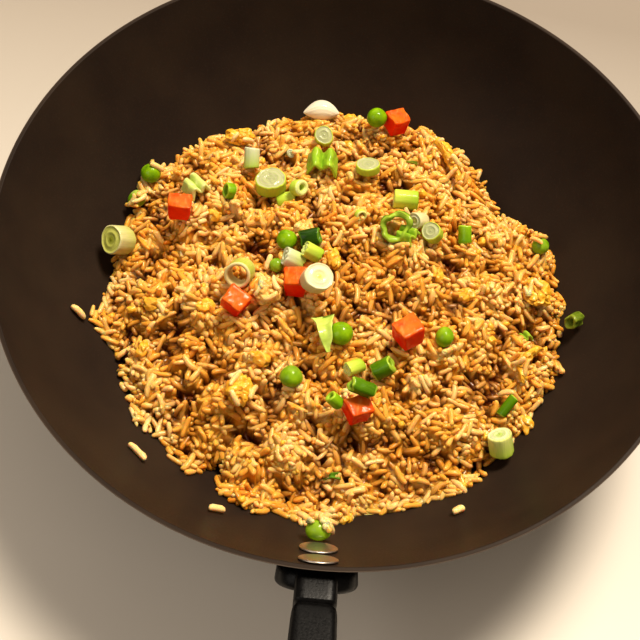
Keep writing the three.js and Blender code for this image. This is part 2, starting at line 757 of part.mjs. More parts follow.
carrots.forEach((piece, i) => lay(makeCarrot(numbered('carrot', i), piece), piece));
peas.forEach((piece, i) => lay(makePea(numbered('pea', i), piece), piece));
eggs.forEach((piece, i) => lay(makeLump(numbered('egg', i), piece, colours.egg, 0.6), piece));
springOnions.forEach((piece, i) => lay(makeSpringOnion(numbered('spring_onion', i), piece), piece));
lay(makeLump('onion_bulb_slice', bulbSlice, colours.bulb, 0.4), bulbSlice);
strayGrains.forEach((piece, i) => lay(makeStrayGrain(numbered('stray_grain', i), piece), piece));

// Fuses a grain on the heap. It is lifted clear of the wok, and left out where it would touch a
// topping or hardly touch the core.
function fuseGrain(heap, x, y, turn, length) {
  const leastHold = 2;        // cubic millimetres sunk in the core
  const mostLift = 3;
  const liftStep = 0.4;
  const grain = makeGrain('grain', length);
  grain.rotation.set(...turn, 'ZYX');
  grain.position.set(x, y, coreTop(x, y) + grainPerch);
  grain.scale.setScalar(1 + (2 * gap) / grainWidth);
  for (let lift = 0; lift < mostLift && overlaps(placedSolid(grain), [panSolid]); lift += liftStep) {
    grain.position.z += liftStep;
  }
  if (overlaps(placedSolid(grain), beds.slice(1))) return heap;
  grain.scale.setScalar(1);
  const solid = placedSolid(grain);
  if (solid.intersect(core).volume() < leastHold) return heap;
  return heap.add(solid);
}

// The core with grains on it: an even spiral over the heap, and a fringe round its edge.
function makeHeap() {
  const random = seededRandom(23);
  const around = (span) => span * (2 * random() - 1);
  const someLength = () => grainLength + around(grainVariety);
  const [roll, pitch] = grainTilt;
  let heap = core;
  for (let i = 0; i < grainSpread; i += 1) {
    const azimuth = i * toRadians(goldenAngle);
    const radius = grainReach * riceEdge(azimuth) * Math.sqrt((i + 0.5) / grainSpread);
    const x = radius * Math.cos(azimuth) + around(grainShift);
    const y = radius * Math.sin(azimuth) + around(grainShift);
    heap = fuseGrain(heap, x, y, [around(roll), around(pitch), around(Math.PI)], someLength());
  }
  for (let i = 0; i < grainFringe; i += 1) {
    const azimuth = ((i + 0.25 * around(1)) / grainFringe) * 2 * Math.PI;
    const radius = riceEdge(azimuth) - fringeInset;
    const [x, y] = [radius * Math.cos(azimuth), radius * Math.sin(azimuth)];
    const turn = azimuth + around(fringeTurn);
    heap = fuseGrain(heap, x, y, [around(roll), fringePitch, turn], someLength());
  }
  return makeMesh('rice_heap', toGeometry(heap), colours.rice, 0.5);
}

const dish = new THREE.Group();
dish.add(wok, makeHeap(), toppings);

export default dish;
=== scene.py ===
import math

import bpy
import numpy as np
from mathutils import Matrix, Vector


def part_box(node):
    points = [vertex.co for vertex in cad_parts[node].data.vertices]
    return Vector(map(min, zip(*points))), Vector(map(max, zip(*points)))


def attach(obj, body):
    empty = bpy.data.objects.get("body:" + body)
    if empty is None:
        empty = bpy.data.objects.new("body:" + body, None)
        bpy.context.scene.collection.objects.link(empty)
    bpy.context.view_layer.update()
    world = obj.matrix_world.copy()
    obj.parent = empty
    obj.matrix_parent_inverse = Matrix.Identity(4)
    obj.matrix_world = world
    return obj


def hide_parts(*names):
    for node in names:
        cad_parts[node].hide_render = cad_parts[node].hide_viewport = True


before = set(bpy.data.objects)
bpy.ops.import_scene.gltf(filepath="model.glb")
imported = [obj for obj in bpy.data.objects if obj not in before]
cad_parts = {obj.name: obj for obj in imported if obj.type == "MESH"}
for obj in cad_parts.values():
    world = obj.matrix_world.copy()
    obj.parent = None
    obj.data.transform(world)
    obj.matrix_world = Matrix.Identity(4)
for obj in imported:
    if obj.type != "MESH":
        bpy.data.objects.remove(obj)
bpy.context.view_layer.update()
mm = 0.001


# ---- small helpers

def nodeBox(node):
    low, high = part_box(node)
    return np.array(low) / mm, np.array(high) / mm


def middleOf(node):
    low, high = nodeBox(node)
    return (low + high) / 2


def unit(vector):
    return vector / np.linalg.norm(vector, axis=-1, keepdims=True)


# rows are the piece's own x, y and z; z points along an azimuth and elevation, y as far up as it can
def attitude(azimuth, elevation):
    turn, rise = math.radians(azimuth), math.radians(elevation)
    axis = np.array((math.cos(rise) * math.cos(turn), math.cos(rise) * math.sin(turn), math.sin(rise)))
    side = unit(np.cross((0, 0, 1), axis))
    return np.array((side, np.cross(axis, side), axis))


# rows are the piece's own axes after turns about x, then y, then z
def turned(aboutX, aboutY, aboutZ):
    a, b, c = (math.radians(t) for t in (aboutX, aboutY, aboutZ))
    x = np.array(((1, 0, 0), (0, math.cos(a), -math.sin(a)), (0, math.sin(a), math.cos(a))))
    y = np.array(((math.cos(b), 0, math.sin(b)), (0, 1, 0), (-math.sin(b), 0, math.cos(b))))
    z = np.array(((math.cos(c), -math.sin(c), 0), (math.sin(c), math.cos(c), 0), (0, 0, 1)))
    return (x @ y @ z).T


# smooth noise in -1..1: a sum of waves whose directions and phases come from the seed
def waves(points, spacing, seed, count=9):
    random = np.random.default_rng(seed)
    ways = unit(random.normal(size=(count, points.shape[-1])))
    lengths = spacing * random.uniform(0.7, 1.6, count)
    phases = random.uniform(0, 2 * math.pi, count)
    angle = points @ (ways * (2 * math.pi / lengths)[:, None]).T + phases
    return np.sin(angle).sum(-1) / math.sqrt(count / 2) * 0.6


# the same noise for x, y and z, each from its own seed
def shake(points, spacing, seed):
    return np.stack([waves(points, spacing, seed + k) for k in range(3)], -1)


def roundAngles(count):
    return np.linspace(0, 2 * math.pi, count, endpoint=False)


# faces of a grid of points that closes on itself along its columns; the rows may close too
def bandFaces(rows, columns, closedRows=False):
    first = np.arange(rows if closedRows else rows - 1)[:, None]
    column = np.arange(columns)[None, :]
    nextRow, nextColumn = (first + 1) % rows, (column + 1) % columns
    corners = (first * columns + column, first * columns + nextColumn,
               nextRow * columns + nextColumn, nextRow * columns + column)
    return np.stack([np.broadcast_to(c, (len(first), columns)) for c in corners], -1).reshape(-1, 4)


# the same with a pole at each end: pole 0 comes before the grid's points and pole 1 after them
def poledFaces(rows, columns):
    ring = np.arange(columns)
    after = (ring + 1) % columns
    last = 1 + (rows - 1) * columns
    quads = bandFaces(rows, columns) + 1
    lowFan = np.stack((np.zeros_like(ring), 1 + after, 1 + ring), -1)
    highFan = np.stack((np.full_like(ring, last + columns), last + ring, last + after), -1)
    return quads, np.concatenate((lowFan, highFan))


# points of a grid of rows between a low and a high pole
def withPoles(low, grid, high):
    return np.concatenate((np.reshape(low, (1, 3)), grid.reshape(-1, 3), np.reshape(high, (1, 3))))


# a value for the low pole, one for each point between, and a value for the high pole
def withEnds(low, values, high):
    return np.concatenate(((low,), values, (high,)))


# turns a profile of radius and height about the z axis; its first and last points are the poles
def turnedSurface(radius, height, sides):
    angle = roundAngles(sides)
    ring = np.stack((np.outer(radius[1:-1], np.cos(angle)), np.outer(radius[1:-1], np.sin(angle)),
                     np.repeat(height[1:-1, None], sides, 1)), -1)
    return withPoles((0, 0, height[0]), ring, (0, 0, height[-1]))


# a ball's directions: points over a sphere as rings between two poles
def ballRings(rows, columns):
    rise = np.linspace(-math.pi / 2, math.pi / 2, rows + 2)
    return turnedSurface(np.cos(rise), np.sin(rise), columns), poledFaces(rows, columns)


# the faces of many copies of a piece that has a number of points
def repeatedFaces(groups, points, copies):
    step = (np.arange(copies) * points)[:, None, None]
    return [(g[None] + step).reshape(-1, g.shape[1]) for g in groups]


# six times the volume inside the faces, positive when they point outwards
def signedVolume(points, groups):
    total = 0.0
    for faces in groups:
        for k in range(1, faces.shape[1] - 1):
            a, b, c = points[faces[:, 0]], points[faces[:, k]], points[faces[:, k + 1]]
            total += np.einsum("ij,ij->", a, np.cross(b, c))
    return total


# puts points in millimetres and groups of faces into a mesh object, with its values for each point
def makeMesh(name, points, groups, material, values=None, uv=None):
    groups = [g for g in groups if len(g)]
    if signedVolume(points, groups) < 0:
        groups = [g[:, ::-1] for g in groups]
    mesh = bpy.data.meshes.new(name)
    corners = np.concatenate([g.ravel() for g in groups])
    sizes = np.concatenate([np.full(len(g), g.shape[1]) for g in groups])
    mesh.vertices.add(len(points))
    mesh.vertices.foreach_set("co", (points * mm).astype(np.float32).ravel())
    mesh.loops.add(len(corners))
    mesh.loops.foreach_set("vertex_index", corners.astype(np.int32))
    mesh.polygons.add(len(sizes))
    mesh.polygons.foreach_set("loop_start", (np.cumsum(sizes) - sizes).astype(np.int32))
    mesh.update(calc_edges=True)
    mesh.polygons.foreach_set("use_smooth", np.ones(len(sizes), bool))
    for key, value in (values or {}).items():
        attribute = mesh.attributes.new(key, "FLOAT", "POINT")
        attribute.data.foreach_set("value", np.asarray(value, np.float32).ravel())
    if uv is not None:
        layer = mesh.uv_layers.new(name="UVMap")
        layer.data.foreach_set("uv", uv[corners].astype(np.float32).ravel())
    mesh.materials.append(material)
    piece = bpy.data.objects.new(name, mesh)
    bpy.context.scene.collection.objects.link(piece)
    return piece


# makes a piece in place of a node, with its slot's finish and the node's name in camel case unless it has
# its own
def makePiece(node, slot, points, groups, values=None, uv=None, name=None, finish=None):
    first, *rest = node.split("_")
    name = name or first + "".join(word.capitalize() for word in rest)
    piece = makeMesh(name, points, groups, finishes[finish or slot], values, uv)
    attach(piece, "root")
    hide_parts(node)


# rows of values as dictionaries that share their keys
def asTable(keys, rows):
    return {name: dict(zip(keys, row)) for name, row in rows.items()}


# ---- camera, floor and light

view = {"lens": 67.5, "sensor": 36, "elevation": 61.34, "roll": 5.09, "distance": 442.8, "right": -9.4,
        "up": -34.1}
studio = {
    # the floor's colours at the back and at the front, for painted light that grows paler towards the front
    "floor": ("#7C7062", "#DCD4C8"), "floorReach": 4000, "air": "#FFEBD4", "airStrength": 0.31,
    "target": (0, 0, 40),
    # place, size, power in watts and colour
    "lights": {"keyLight": ((430, 720, 1640), (560, 560), 60.0, "#FFF1DC"),
               "fillLight": ((-520, -300, 620), (500, 500), 1.4, "#FFF6EA"),
               "backLight": ((-100, 620, 420), (600, 300), 0.8, "#FFF3E0")},
}
rimHeight = nodeBox("wok_pan")[1][2]


def placeObject(thing, place, back, up):
    right = unit(np.cross(up, back))
    columns = np.stack((right, np.cross(back, right), back, np.array(place) * mm), -1)
    thing.matrix_world = Matrix(columns.tolist() + [[0, 0, 0, 1]])
    bpy.context.scene.collection.objects.link(thing)
    return thing


def makeCamera():
    slant, roll = math.radians(view["elevation"]), math.radians(view["roll"])
    back = np.array((0, -math.cos(slant), math.sin(slant)))
    rise = np.cross(back, (1, 0, 0))
    right = math.cos(roll) * np.array((1, 0, 0)) + math.sin(roll) * rise
    up = np.cross(back, right)
    place = view["distance"] * back + view["right"] * right + view["up"] * up + (0, 0, rimHeight)
    data = bpy.data.cameras.new("camera")
    data.lens = view["lens"]
    data.sensor_width = view["sensor"]
    data.clip_start, data.clip_end = 0.01, 20
    bpy.context.scene.camera = placeObject(bpy.data.objects.new("camera", data), place, back, up)


def hexColour(code):
    channels = np.array([int(code[k:k + 2], 16) / 255 for k in (1, 3, 5)])
    linear = np.where(channels <= 0.04045, channels / 12.92, ((channels + 0.055) / 1.055) ** 2.4)
    return (*linear.tolist(), 1.0)


def softLight(name, place, size, power, tint):
    data = bpy.data.lights.new(name, "AREA")
    data.shape, data.size, data.size_y = "RECTANGLE", size[0] * mm, size[1] * mm
    data.energy = power
    data.color = hexColour(tint)[:3]
    back = unit(np.array(place, float) - np.array(studio["target"], float))
    placeObject(bpy.data.objects.new(name, data), place, back, np.array((0, 1, 0.01)))


makeCamera()


# ---- finishes; the id_data of a node or a socket is the tree that it is in

# adds a node, sets its own settings and its sockets' values, and links its sockets
def addNode(tree, kind, settings, links=()):
    node = tree.nodes.new("ShaderNode" + kind)
    for key, value in settings.items():
        if isinstance(key, int) or key in node.inputs:
            node.inputs[key].default_value = value
        else:
            setattr(node, key, value)
    for key, source in dict(links).items():
        tree.links.new(source, node.inputs[key])
    return node


# an empty finish with its shader's plain values, and each spot's place in the piece
def newFinish(name, settings):
    finish = bpy.data.materials.new(name)
    finish.use_nodes = True
    shader = finish.node_tree.nodes["Principled BSDF"]
    for key, value in settings.items():
        shader.inputs[key].default_value = value
    return finish, shader, addNode(finish.node_tree, "TexCoord", {}).outputs["Object"]


# a moist food: its film of oil or water, and how far light goes into it
def moist(roughness, specular, film, filmRoughness, inside, spread, depth):
    return {"Roughness": roughness, "Specular IOR Level": specular, "Coat Weight": film,
            "Coat Roughness": filmRoughness, "Subsurface Weight": inside, "Subsurface Radius": spread,
            "Subsurface Scale": depth * mm}


def noiseOf(vector, spacing, detail=2.0, roughness=0.55):
    settings = {"Scale": 1 / (spacing * mm), "Detail": detail, "Roughness": roughness}
    return addNode(vector.id_data, "TexNoise", settings, {"Vector": vector}).outputs[0]


def ramp(value, low, high, toLow=0.0, toHigh=1.0):
    settings = {"From Min": low, "From Max": high, "To Min": toLow, "To Max": toHigh}
    return addNode(value.id_data, "MapRange", settings, {"Value": value}).outputs[0]


def stretched(vector, scale):
    return addNode(vector.id_data, "Mapping", {"Scale": scale}, {"Vector": vector}).outputs[0]


# arithmetic on sockets and plain numbers
def sums(operation, *values):
    tree = next(v.id_data for v in values if not isinstance(v, float))
    plain = {k: v for k, v in enumerate(values) if isinstance(v, float)}
    linked = {k: v for k, v in enumerate(values) if not isinstance(v, float)}
    return addNode(tree, "Math", {"operation": operation, **plain}, linked).outputs[0]


# goes from one colour to another as a value goes from low to high, as far as a share of the way; a colour
# is a hex code or another node's output
def stained(first, value, low, high, second, most=1.0):
    settings, links = {"data_type": "RGBA"}, {0: ramp(value, low, high, 0, most)}
    for socket, colour in ((6, first), (7, second)):
        if isinstance(colour, str):
            settings[socket] = hexColour(colour)
        else:
            links[socket] = colour
    return addNode(value.id_data, "Mix", settings, links).outputs[2]


def valueOf(shader, name):
    return addNode(shader.id_data, "Attribute", {"attribute_name": name}).outputs["Fac"]


# links a shader's colour, and its roughness and its relief of a height, strength and depth where it has them
def dress(shader, base, rough=None, relief=None):
    links = shader.id_data.links
    links.new(base, shader.inputs["Base Color"])
    if rough:
        links.new(rough, shader.inputs["Roughness"])
    if relief:
        height, strength, depth = relief
        settings = {"Strength": strength, "Distance": depth * mm}
        bump = addNode(shader.id_data, "Bump", settings, {"Height": height})
        links.new(bump.outputs[0], shader.inputs["Normal"])


# Sprayed non-stick coating on pressed steel: dark brown-grey satin with a fine pebble.
def coatedSteel():
    finish, shader, place = newFinish("sprayedNonStickCoating", {"Specular IOR Level": 0.03})
    speck = noiseOf(place, 0.7, 2)        # real pebble is near 0.2 mm, drawn coarser to show
    base = stained("#211914", noiseOf(place, 45, 3), 0.35, 0.65, "#2A2018")
    base = stained(base, speck, 0.55, 0.75, "#382C24", 0.3)
    base = stained(base, valueOf(shader, "lip"), 0, 1, "#6E6156")
    dress(shader, base, ramp(speck, 0.3, 0.7, 0.36, 0.46), (speck, 0.15, 0.08))
    return finish


# Moulded phenolic: black, finely pebbled, semi-gloss.
def mouldedPhenolic():
    finish, shader, place = newFinish("mouldedPhenolic", {"IOR": 1.55, "Specular IOR Level": 0.1})
    pebble = noiseOf(place, 0.8, 3)       # real grain is near 0.5 mm
    base = stained("#020202", pebble, 0.3, 0.7, "#060505")
    dress(shader, base, ramp(pebble, 0.3, 0.7, 0.25, 0.42), (pebble, 0.3, 0.15))
    return finish


# Polished stainless rivet, with fine turning marks.
def turnedSteel():
    finish, shader, place = newFinish("turnedStainlessSteel", {"Metallic": 1.0})
    mark = noiseOf(place, 0.5, 2)
    dress(shader, stained("#A79C90", mark, 0, 1, "#CFC5BA"), ramp(mark, 0.3, 0.7, 0.28, 0.42))
    return finish


# Cooked long-grain rice fried with soy: translucent starch stained unevenly, with an amber film of oil.
# tone goes from pale 0 to soy-brown 1 for each grain. A second value goes from 0 on the tops to 1 deep in the
# heap, in its gaps and on the grains' undersides, and paints shade there together with the soy sauce that
# gathers.
def friedRice():
    finish, shader, place = newFinish("soyFriedRice", {
        "IOR": 1.45, "Specular Tint": hexColour("#FFC890"),
        **moist(0.4, 0.25, 0.3, 0.14, 0.8, (1.0, 0.45, 0.15), 2.0)})
    fine = noiseOf(place, 1.2, 2)
    tone = sums("MULTIPLY_ADD", noiseOf(place, 6, 3), 0.5, valueOf(shader, "tone"))
    base = stained("#F0CC8A", tone, 0.35, 0.7, "#E2A440")
    base = stained(base, tone, 0.7, 1.0, "#BE6A06")
    base = stained(base, tone, 1.0, 1.35, "#843C00")
    base = stained(base, fine, 0.5, 0.8, "#D08A14", 0.3)
    # painted shade with the sauce: darker deep in the heap, in the gaps and on the grains' undersides
    sunk = valueOf(shader, "sunk")
    base = stained(base, sunk, 0.05, 0.5, "#AC6E14", 0.75)
    base = stained(base, sunk, 0.35, 1, "#521C00")
    dress(shader, base, ramp(fine, 0.3, 0.7, 0.28, 0.5), (fine, 0.4, 0.2))
    return finish


# Scrambled egg: curdled, matt and moist, browned in patches, and darker in its folds as painted shade.
# A second value goes from 0 on its lobes to 1 in the folds between them, where it paints shade.
def friedEgg(name, deep, pale):
    finish, shader, place = newFinish(name, moist(0.42, 0.3, 0.2, 0.15, 0.2, (1, 0.7, 0.2), 1.5))
    curd = noiseOf(place, 2.2, 4, 0.6)
    base = stained(deep, curd, 0.35, 0.65, pale)
    base = stained(base, noiseOf(place, 5, 3), 0.5, 0.75, "#BC7A1C", 0.7)
    # painted shade in the folds between its lobes
    base = stained(base, valueOf(shader, "foldShade"), 0, 1, "#A06010", 0.5)
    dress(shader, base, relief=(curd, 0.6, 0.5))
    return finish


# Cooked pea skin: thin, smooth, moist and slightly translucent. dull is the share of its green that is lost.
def peaSkin():
    finish, shader, place = newFinish("peaSkin", moist(0.34, 0.05, 0.3, 0.08, 0.15, (0.4, 0.6, 0.1), 1.2))
    base = stained("#588204", noiseOf(place, 4, 3), 0.3, 0.75, "#8AB206")
    base = stained(base, valueOf(shader, "dull"), 0, 1, "#A8B84A")
    dress(shader, base, relief=(noiseOf(place, 1.6, 2), 0.15, 0.3))
    return finish


# Cooked carrot, knife-cut: wet faces with pale fibres; the upper face is painted paler as lit and the sides
# a darker red as shaded, as painted light from above.
def cutCarrot():
    finish, shader, place = newFinish("cutCarrot", {
        "Specular Tint": hexColour("#FFD8B8"), **moist(0.38, 0.07, 0.2, 0.1, 0.15, (1, 0.3, 0.1), 1.2)})
    fibre = noiseOf(stretched(place, (1, 0.25, 1)), 1.2, 3)
    blush = noiseOf(place, 6, 2)
    top = stained("#CE4406", blush, 0.35, 0.65, "#DA6616")
    top = stained(top, fibre, 0.5, 0.72, "#E49650", 0.45)
    side = stained("#EA1A00", blush, 0.35, 0.65, "#F42A00")
    # painted light: the upper face takes the paler lit colour, the sides the darker shaded red
    dress(shader, stained(side, valueOf(shader, "upper"), 0, 1, top), relief=(fibre, 0.4, 0.3))
    return finish


# Cut spring onion: wet layered flesh with fine lines between its layers, and a ribbed waxy skin.
# layer goes from 0 at the middle of a cut face to 1 at the skin, and the UV map runs round and along.
def springOnionFinish(name, centre, flesh, lines, skin, skinEnd):
    finish, shader, place = newFinish(name, moist(0.4, 0.07, 0.25, 0.1, 0.15, (0.7, 0.8, 0.2), 1.2))
    layer = valueOf(shader, "layer")
    uv = addNode(shader.id_data, "TexCoord", {}).outputs["UV"]
    ribs = noiseOf(stretched(uv, (38, 1.5, 1)), 1 / mm, 3, 0.5)       # the map's unit isn't a metre
    ring = sums("SINE", sums("MULTIPLY", sums("MULTIPLY_ADD", noiseOf(place, 3, 2), 0.12, layer), 26.0))
    cut = stained(centre, layer, 0.05, 0.55, flesh)
    cut = stained(cut, ring, 0.55, 1, lines, 0.55)
    side = stained(skinEnd, valueOf(shader, "along"), 0, 1, skin)
    side = stained(side, ribs, 0.45, 0.7, lines, 0.4)
    height = sums("ADD", ramp(ring, -1, 1, 0, 0.6), ribs)
    dress(shader, stained(cut, layer, 0.93, 0.99, side), relief=(height, 0.3, 0.3))
    return finish


finishes = {
    "wok": coatedSteel(), "handle": mouldedPhenolic(), "rivet": turnedSteel(), "rice": friedRice(),
    "egg": friedEgg("scrambledEgg", "#E49C18", "#F6C03C"),
    "eggWhite": friedEgg("scrambledEggWhite", "#DC9A30", "#EEC268"), "pea": peaSkin(), "carrot": cutCarrot(),
}
# for each: middle of the cut face, its flesh, its lines, the skin at the top end and at the low end
onionColours = {
    "onion_bulb": ("onionBulb", "#E4DCC4 #E0D6BC #D2C69C #E0D6BC #CDB87C"),
    "olive": ("springOnionStemOlive", "#74780A #B8B858 #989E40 #D0C890 #B4B85C"),
    "ring": ("springOnionStemHollow", "#D6C480 #E8DA98 #D0C480 #A0AC30 #B8BC50"),
    "cream": ("springOnionStemWhite", "#D0CA62 #DDD6AE #D8D0A4 #D4C896 #C4B078"),
    "pale": ("springOnionStem", "#A0B84A #C6CC9C #8CB03A #D4D47C #B0C83C"),
    "white": ("springOnionStemPale", "#BCC48C #CFD2B0 #A8BC70 #CFD0AC #A4BC3C"),
    "layered": ("springOnionCore", "#9C9E72 #AAAA7E #8CA24A #B8C83A #9CB024"),
    "bright": ("springOnionGreen", "#94BA26 #A4C430 #5C8C08 #88B20E #5C8A04"),
    "light": ("springOnionGreenPale", "#D0DC7A #D8E08C #A8C038 #CCDA50 #98B826"),
    "dark": ("springOnionLeaf", "#8CAC28 #9CB834 #68900C #507C02 #3C6202"),
    "deep": ("springOnionLeafDark", "#46720C #5A8618 #3A620A #1E4002 #122C00"),
    "tail": ("springOnionLeafTail", "#D2DC84 #C0D264 #A0C034 #8CB81C #EEF2DC"),
    "moss": ("springOnionLeafOlive", "#6C7E1A #7E8C26 #98A23A #5A6E10 #465A0C"),
}
for key, (name, colours) in onionColours.items():
    finishes[key] = springOnionFinish(name, *colours.split())
print("finishes made")


# ---- wok

wok = {"wall": 1.5, "rimSlope": 62.0, "rimBand": 16.0, "bowlRadius": 126.0, "heelSlope": 20.0,
       "heelRadius": 22.0, "sides": 256, "bowlSteps": 78}
panLow, panHigh = nodeBox("wok_pan")
rimRadius = panHigh[0]
rimLean, heelLean = math.radians(wok["rimSlope"]), math.radians(wok["heelSlope"])
innerRim = rimRadius - wok["wall"] / math.sin(rimLean)


# radius, height and slope at distances down the inner face: a straight band, the bowl's arc, then the heel's
def wallSpots(distance):
    straight = np.minimum(distance, wok["rimBand"])
    slope = rimLean - np.clip((distance - wok["rimBand"]) / wok["bowlRadius"], 0, rimLean - heelLean)
    arc = wok["bowlRadius"]
    radius = innerRim - straight * math.cos(rimLean) - arc * (math.sin(rimLean) - np.sin(slope))
    height = rimHeight - straight * math.sin(rimLean) - arc * (np.cos(slope) - math.cos(rimLean))
    bowlEnd = wok["rimBand"] + arc * (rimLean - heelLean)
    heel = np.clip((distance - bowlEnd) / wok["heelRadius"], 0, heelLean)
    slope = slope - heel
    radius = radius - wok["heelRadius"] * (math.sin(heelLean) - np.sin(heelLean - heel))
    height = height - wok["heelRadius"] * (np.cos(heelLean - heel) - math.cos(heelLean))
    return radius, height, slope


wallLength = wok["rimBand"] + wok["bowlRadius"] * (rimLean - heelLean) + wok["heelRadius"] * heelLean
wallTable = wallSpots(np.linspace(wallLength, 0, 400))


# height of the inner face at a radius, and its slope there
def wallHeight(radius):
    return np.interp(radius, wallTable[0], wallTable[1], left=wok["wall"])


def wallSlope(radius):
    return np.interp(radius, wallTable[0], wallTable[2], left=0.0, right=rimLean)


# The pan's section: out along the inside, over the level cut edge with its corners broken, and back along
# the outside, which is the inside moved out by the wall along its normal. The outer corner is paler.
def makePan():
    bowl = np.linspace(wallLength, wok["rimBand"], wok["bowlSteps"])
    down = np.concatenate((bowl, np.linspace(wok["rimBand"], 0.5, 6)[1:]))
    radius, height, slope = wallSpots(down)
    outRadius = radius + wok["wall"] * np.sin(slope)
    outHeight = height - wok["wall"] * np.cos(slope)
    lipRadius = np.concatenate((innerRim + np.array((-0.12, 0.05, 0.3)),
                                rimRadius - np.array((0.4, 0.2, 0.1, 0.22))))
    lipHeight = rimHeight - np.array((0.2, 0.05, 0, 0, 0.06, 0.22, 0.5))
    lipPaler = (0, 0, 0, 0.1, 0.9, 0.9, 0.2)
    flat = radius[0] * np.array((0, 0.35, 0.7))
    sectionRadius = np.concatenate((flat, radius, lipRadius, outRadius[::-1], flat[::-1]))
    sectionHeight = np.concatenate((np.full(3, wok["wall"]), height, lipHeight, outHeight[::-1], np.zeros(3)))
    lip = np.concatenate((np.zeros(3 + len(radius)), lipPaler, np.zeros(3 + len(radius))))
    points = turnedSurface(sectionRadius, sectionHeight, wok["sides"])
    lipValues = withEnds(0, np.repeat(lip[1:-1], wok["sides"]), 0)
    faces = poledFaces(len(sectionRadius) - 2, wok["sides"])
    makePiece("wok_pan", "wok", points, faces, {"lip": lipValues})


makePan()
print("wok made")


# ---- handle

handle = {"gap": 0.35, "bracketWidth": 28.5, "bracketThickness": 8.0, "bracketTop": 3.0,
          "bracketBottom": 39.0, "bracketCorner": 9.0, "bracketBend": 4.0, "edge": 2.2, "rise": 18.0,
          "drop": 16.0, "length": 168.0, "rootWidth": 14.5, "endWidth": 23.0, "rootDepth": 14.0,
          "endDepth": 17.0, "round": 2.4, "neckRound": 2.2, "headRadius": 6.7, "headFoot": 0.45,
          "headHeight": 0.85, "headEdge": 0.45, "headDome": 0.15, "shankRadius": 2.4,
          "rivetDrops": (7.0, 25.5)}
bracketFace = wok["wall"] + handle["gap"] + handle["bracketThickness"]
outerStart = wallSpots(np.array([handle["drop"]]))
handleStart = np.array((0, -outerStart[0][0], outerStart[1][0]))
handleRise = math.radians(handle["rise"])
handleAxes = np.array(((1, 0, 0), (0, math.sin(handleRise), math.cos(handleRise)),
                       (0, -math.cos(handleRise), math.sin(handleRise))))
handleLean = math.pi / 2 - rimLean + handleRise
gripStart = (bracketFace + handle["rootDepth"] / 2 * math.sin(handleLean)) / math.cos(handleLean)
gripStart += handle["gap"]


# closed outlines of rectangles with round corners: x and y of count points in each row
def roundedOutline(width, height, corner, count):
    turn = roundAngles(count) + math.pi / count
    x, y = np.cos(turn), np.sin(turn)
    reach = (np.abs(x) ** 12 + np.abs(y) ** 12) ** (-1 / 12)
    x, y = x * reach * width / 2, y * reach * height / 2
    inX = np.clip(x, corner - width / 2, width / 2 - corner)
    inY = np.clip(y, corner - height / 2, height / 2 - corner)
    size = np.maximum(np.hypot(x - inX, y - inY), 1e-9)
    share = np.minimum(size, corner) / size
    return inX + (x - inX) * share, inY + (y - inY) * share


# rounded rectangles across the handle's axis at distances along it, closed to a point at each end
def makeBar(node, along, end, width, depth, corner, sides, name=None):
    x, y = roundedOutline(width[:, None], depth[:, None], corner[:, None], sides)
    grid = np.stack((x, y, np.repeat(along[:, None], sides, 1)), -1)
    points = withPoles((0, 0, along[0]), grid, (0, 0, end)) @ handleAxes + handleStart
    makePiece(node, "handle", points, poledFaces(len(along), sides), name=name)


# The grip widens to its end, where it closes in a half circle, and its edges are round at both ends.
def makeGrip():
    length, curve = handle["length"], handle["round"]
    share = np.concatenate(((0, 0.0015, 0.006, 0.012), np.linspace(0.02, 0.93, 60),
                            1 - 0.07 * np.cos(np.linspace(0.1, 1.5, 14))))
    along, fromEnd = share * length, length - share * length
    inEnd = np.clip(1 - fromEnd / (handle["endWidth"] / 2), 0, 1)
    width = handle["rootWidth"] + (handle["endWidth"] - handle["rootWidth"]) * share
    width *= np.maximum(np.sqrt(1 - inEnd ** 2), 0.02)
    depth = handle["rootDepth"] + (handle["endDepth"] - handle["rootDepth"]) * share
    inTip = np.maximum(curve - fromEnd, 0)
    shrink = curve * np.exp(-along / 1.2) + 2 * (curve - np.sqrt(curve ** 2 - inTip ** 2))
    corner = np.minimum(curve, np.minimum(width, depth) / 2.1)
    makeBar("handle_grip", gripStart + along, gripStart + length, np.maximum(width - shrink, 0.5),
            np.maximum(depth - shrink, 0.5), corner, 64)


# The bracket: an outline on the wall that stands out to the face with a round edge and closes to its middle.
def makeBracketPlate():
    sides, edge, thickness = 96, handle["edge"], handle["bracketThickness"]
    length = handle["bracketBottom"] - handle["bracketTop"]
    middle = (handle["bracketBottom"] + handle["bracketTop"]) / 2
    turn = np.linspace(0, math.pi / 2, 7)
    inset = np.concatenate(((edge, 0), edge * (1 - np.cos(turn)), edge + np.array((2, 4, 7, 10))))[:, None]
    level = np.concatenate(((0, 0), thickness - edge * (1 - np.sin(turn)), np.full(4, thickness)))[:, None]
    x, y = roundedOutline(handle["bracketWidth"], length, handle["bracketCorner"], sides)
    radius, height, slope = wallSpots(middle + y * (1 - 2 * inset / length))
    out = wok["wall"] + handle["gap"] + level
    distance = radius + out * np.sin(slope)
    angle = x * (1 - 2 * inset / handle["bracketWidth"]) / (rimRadius + handle["bracketBend"])
    grid = np.stack((distance * np.sin(angle), -distance * np.cos(angle), height - out * np.cos(slope)), -1)
    points = withPoles(grid[0].mean(0), grid, grid[-1].mean(0))
    makePiece("handle_bracket", "handle", points, poledFaces(len(grid), sides))


# The neck carries the grip out of the bracket.
def makeNeck():
    along = np.concatenate((bracketFace - np.array((3.5, 1)), gripStart + np.array((-1.2, -0.7, -0.4, 3))))
    shrink = np.array((0, 0, 0, 0.3, 1.2, 5.0))
    makeBar("handle_bracket", along, along[-1], handle["rootWidth"] - 0.5 - shrink,
            handle["rootDepth"] - 0.6 - shrink, np.full(6, handle["neckRound"]), 48, "handleNeck")


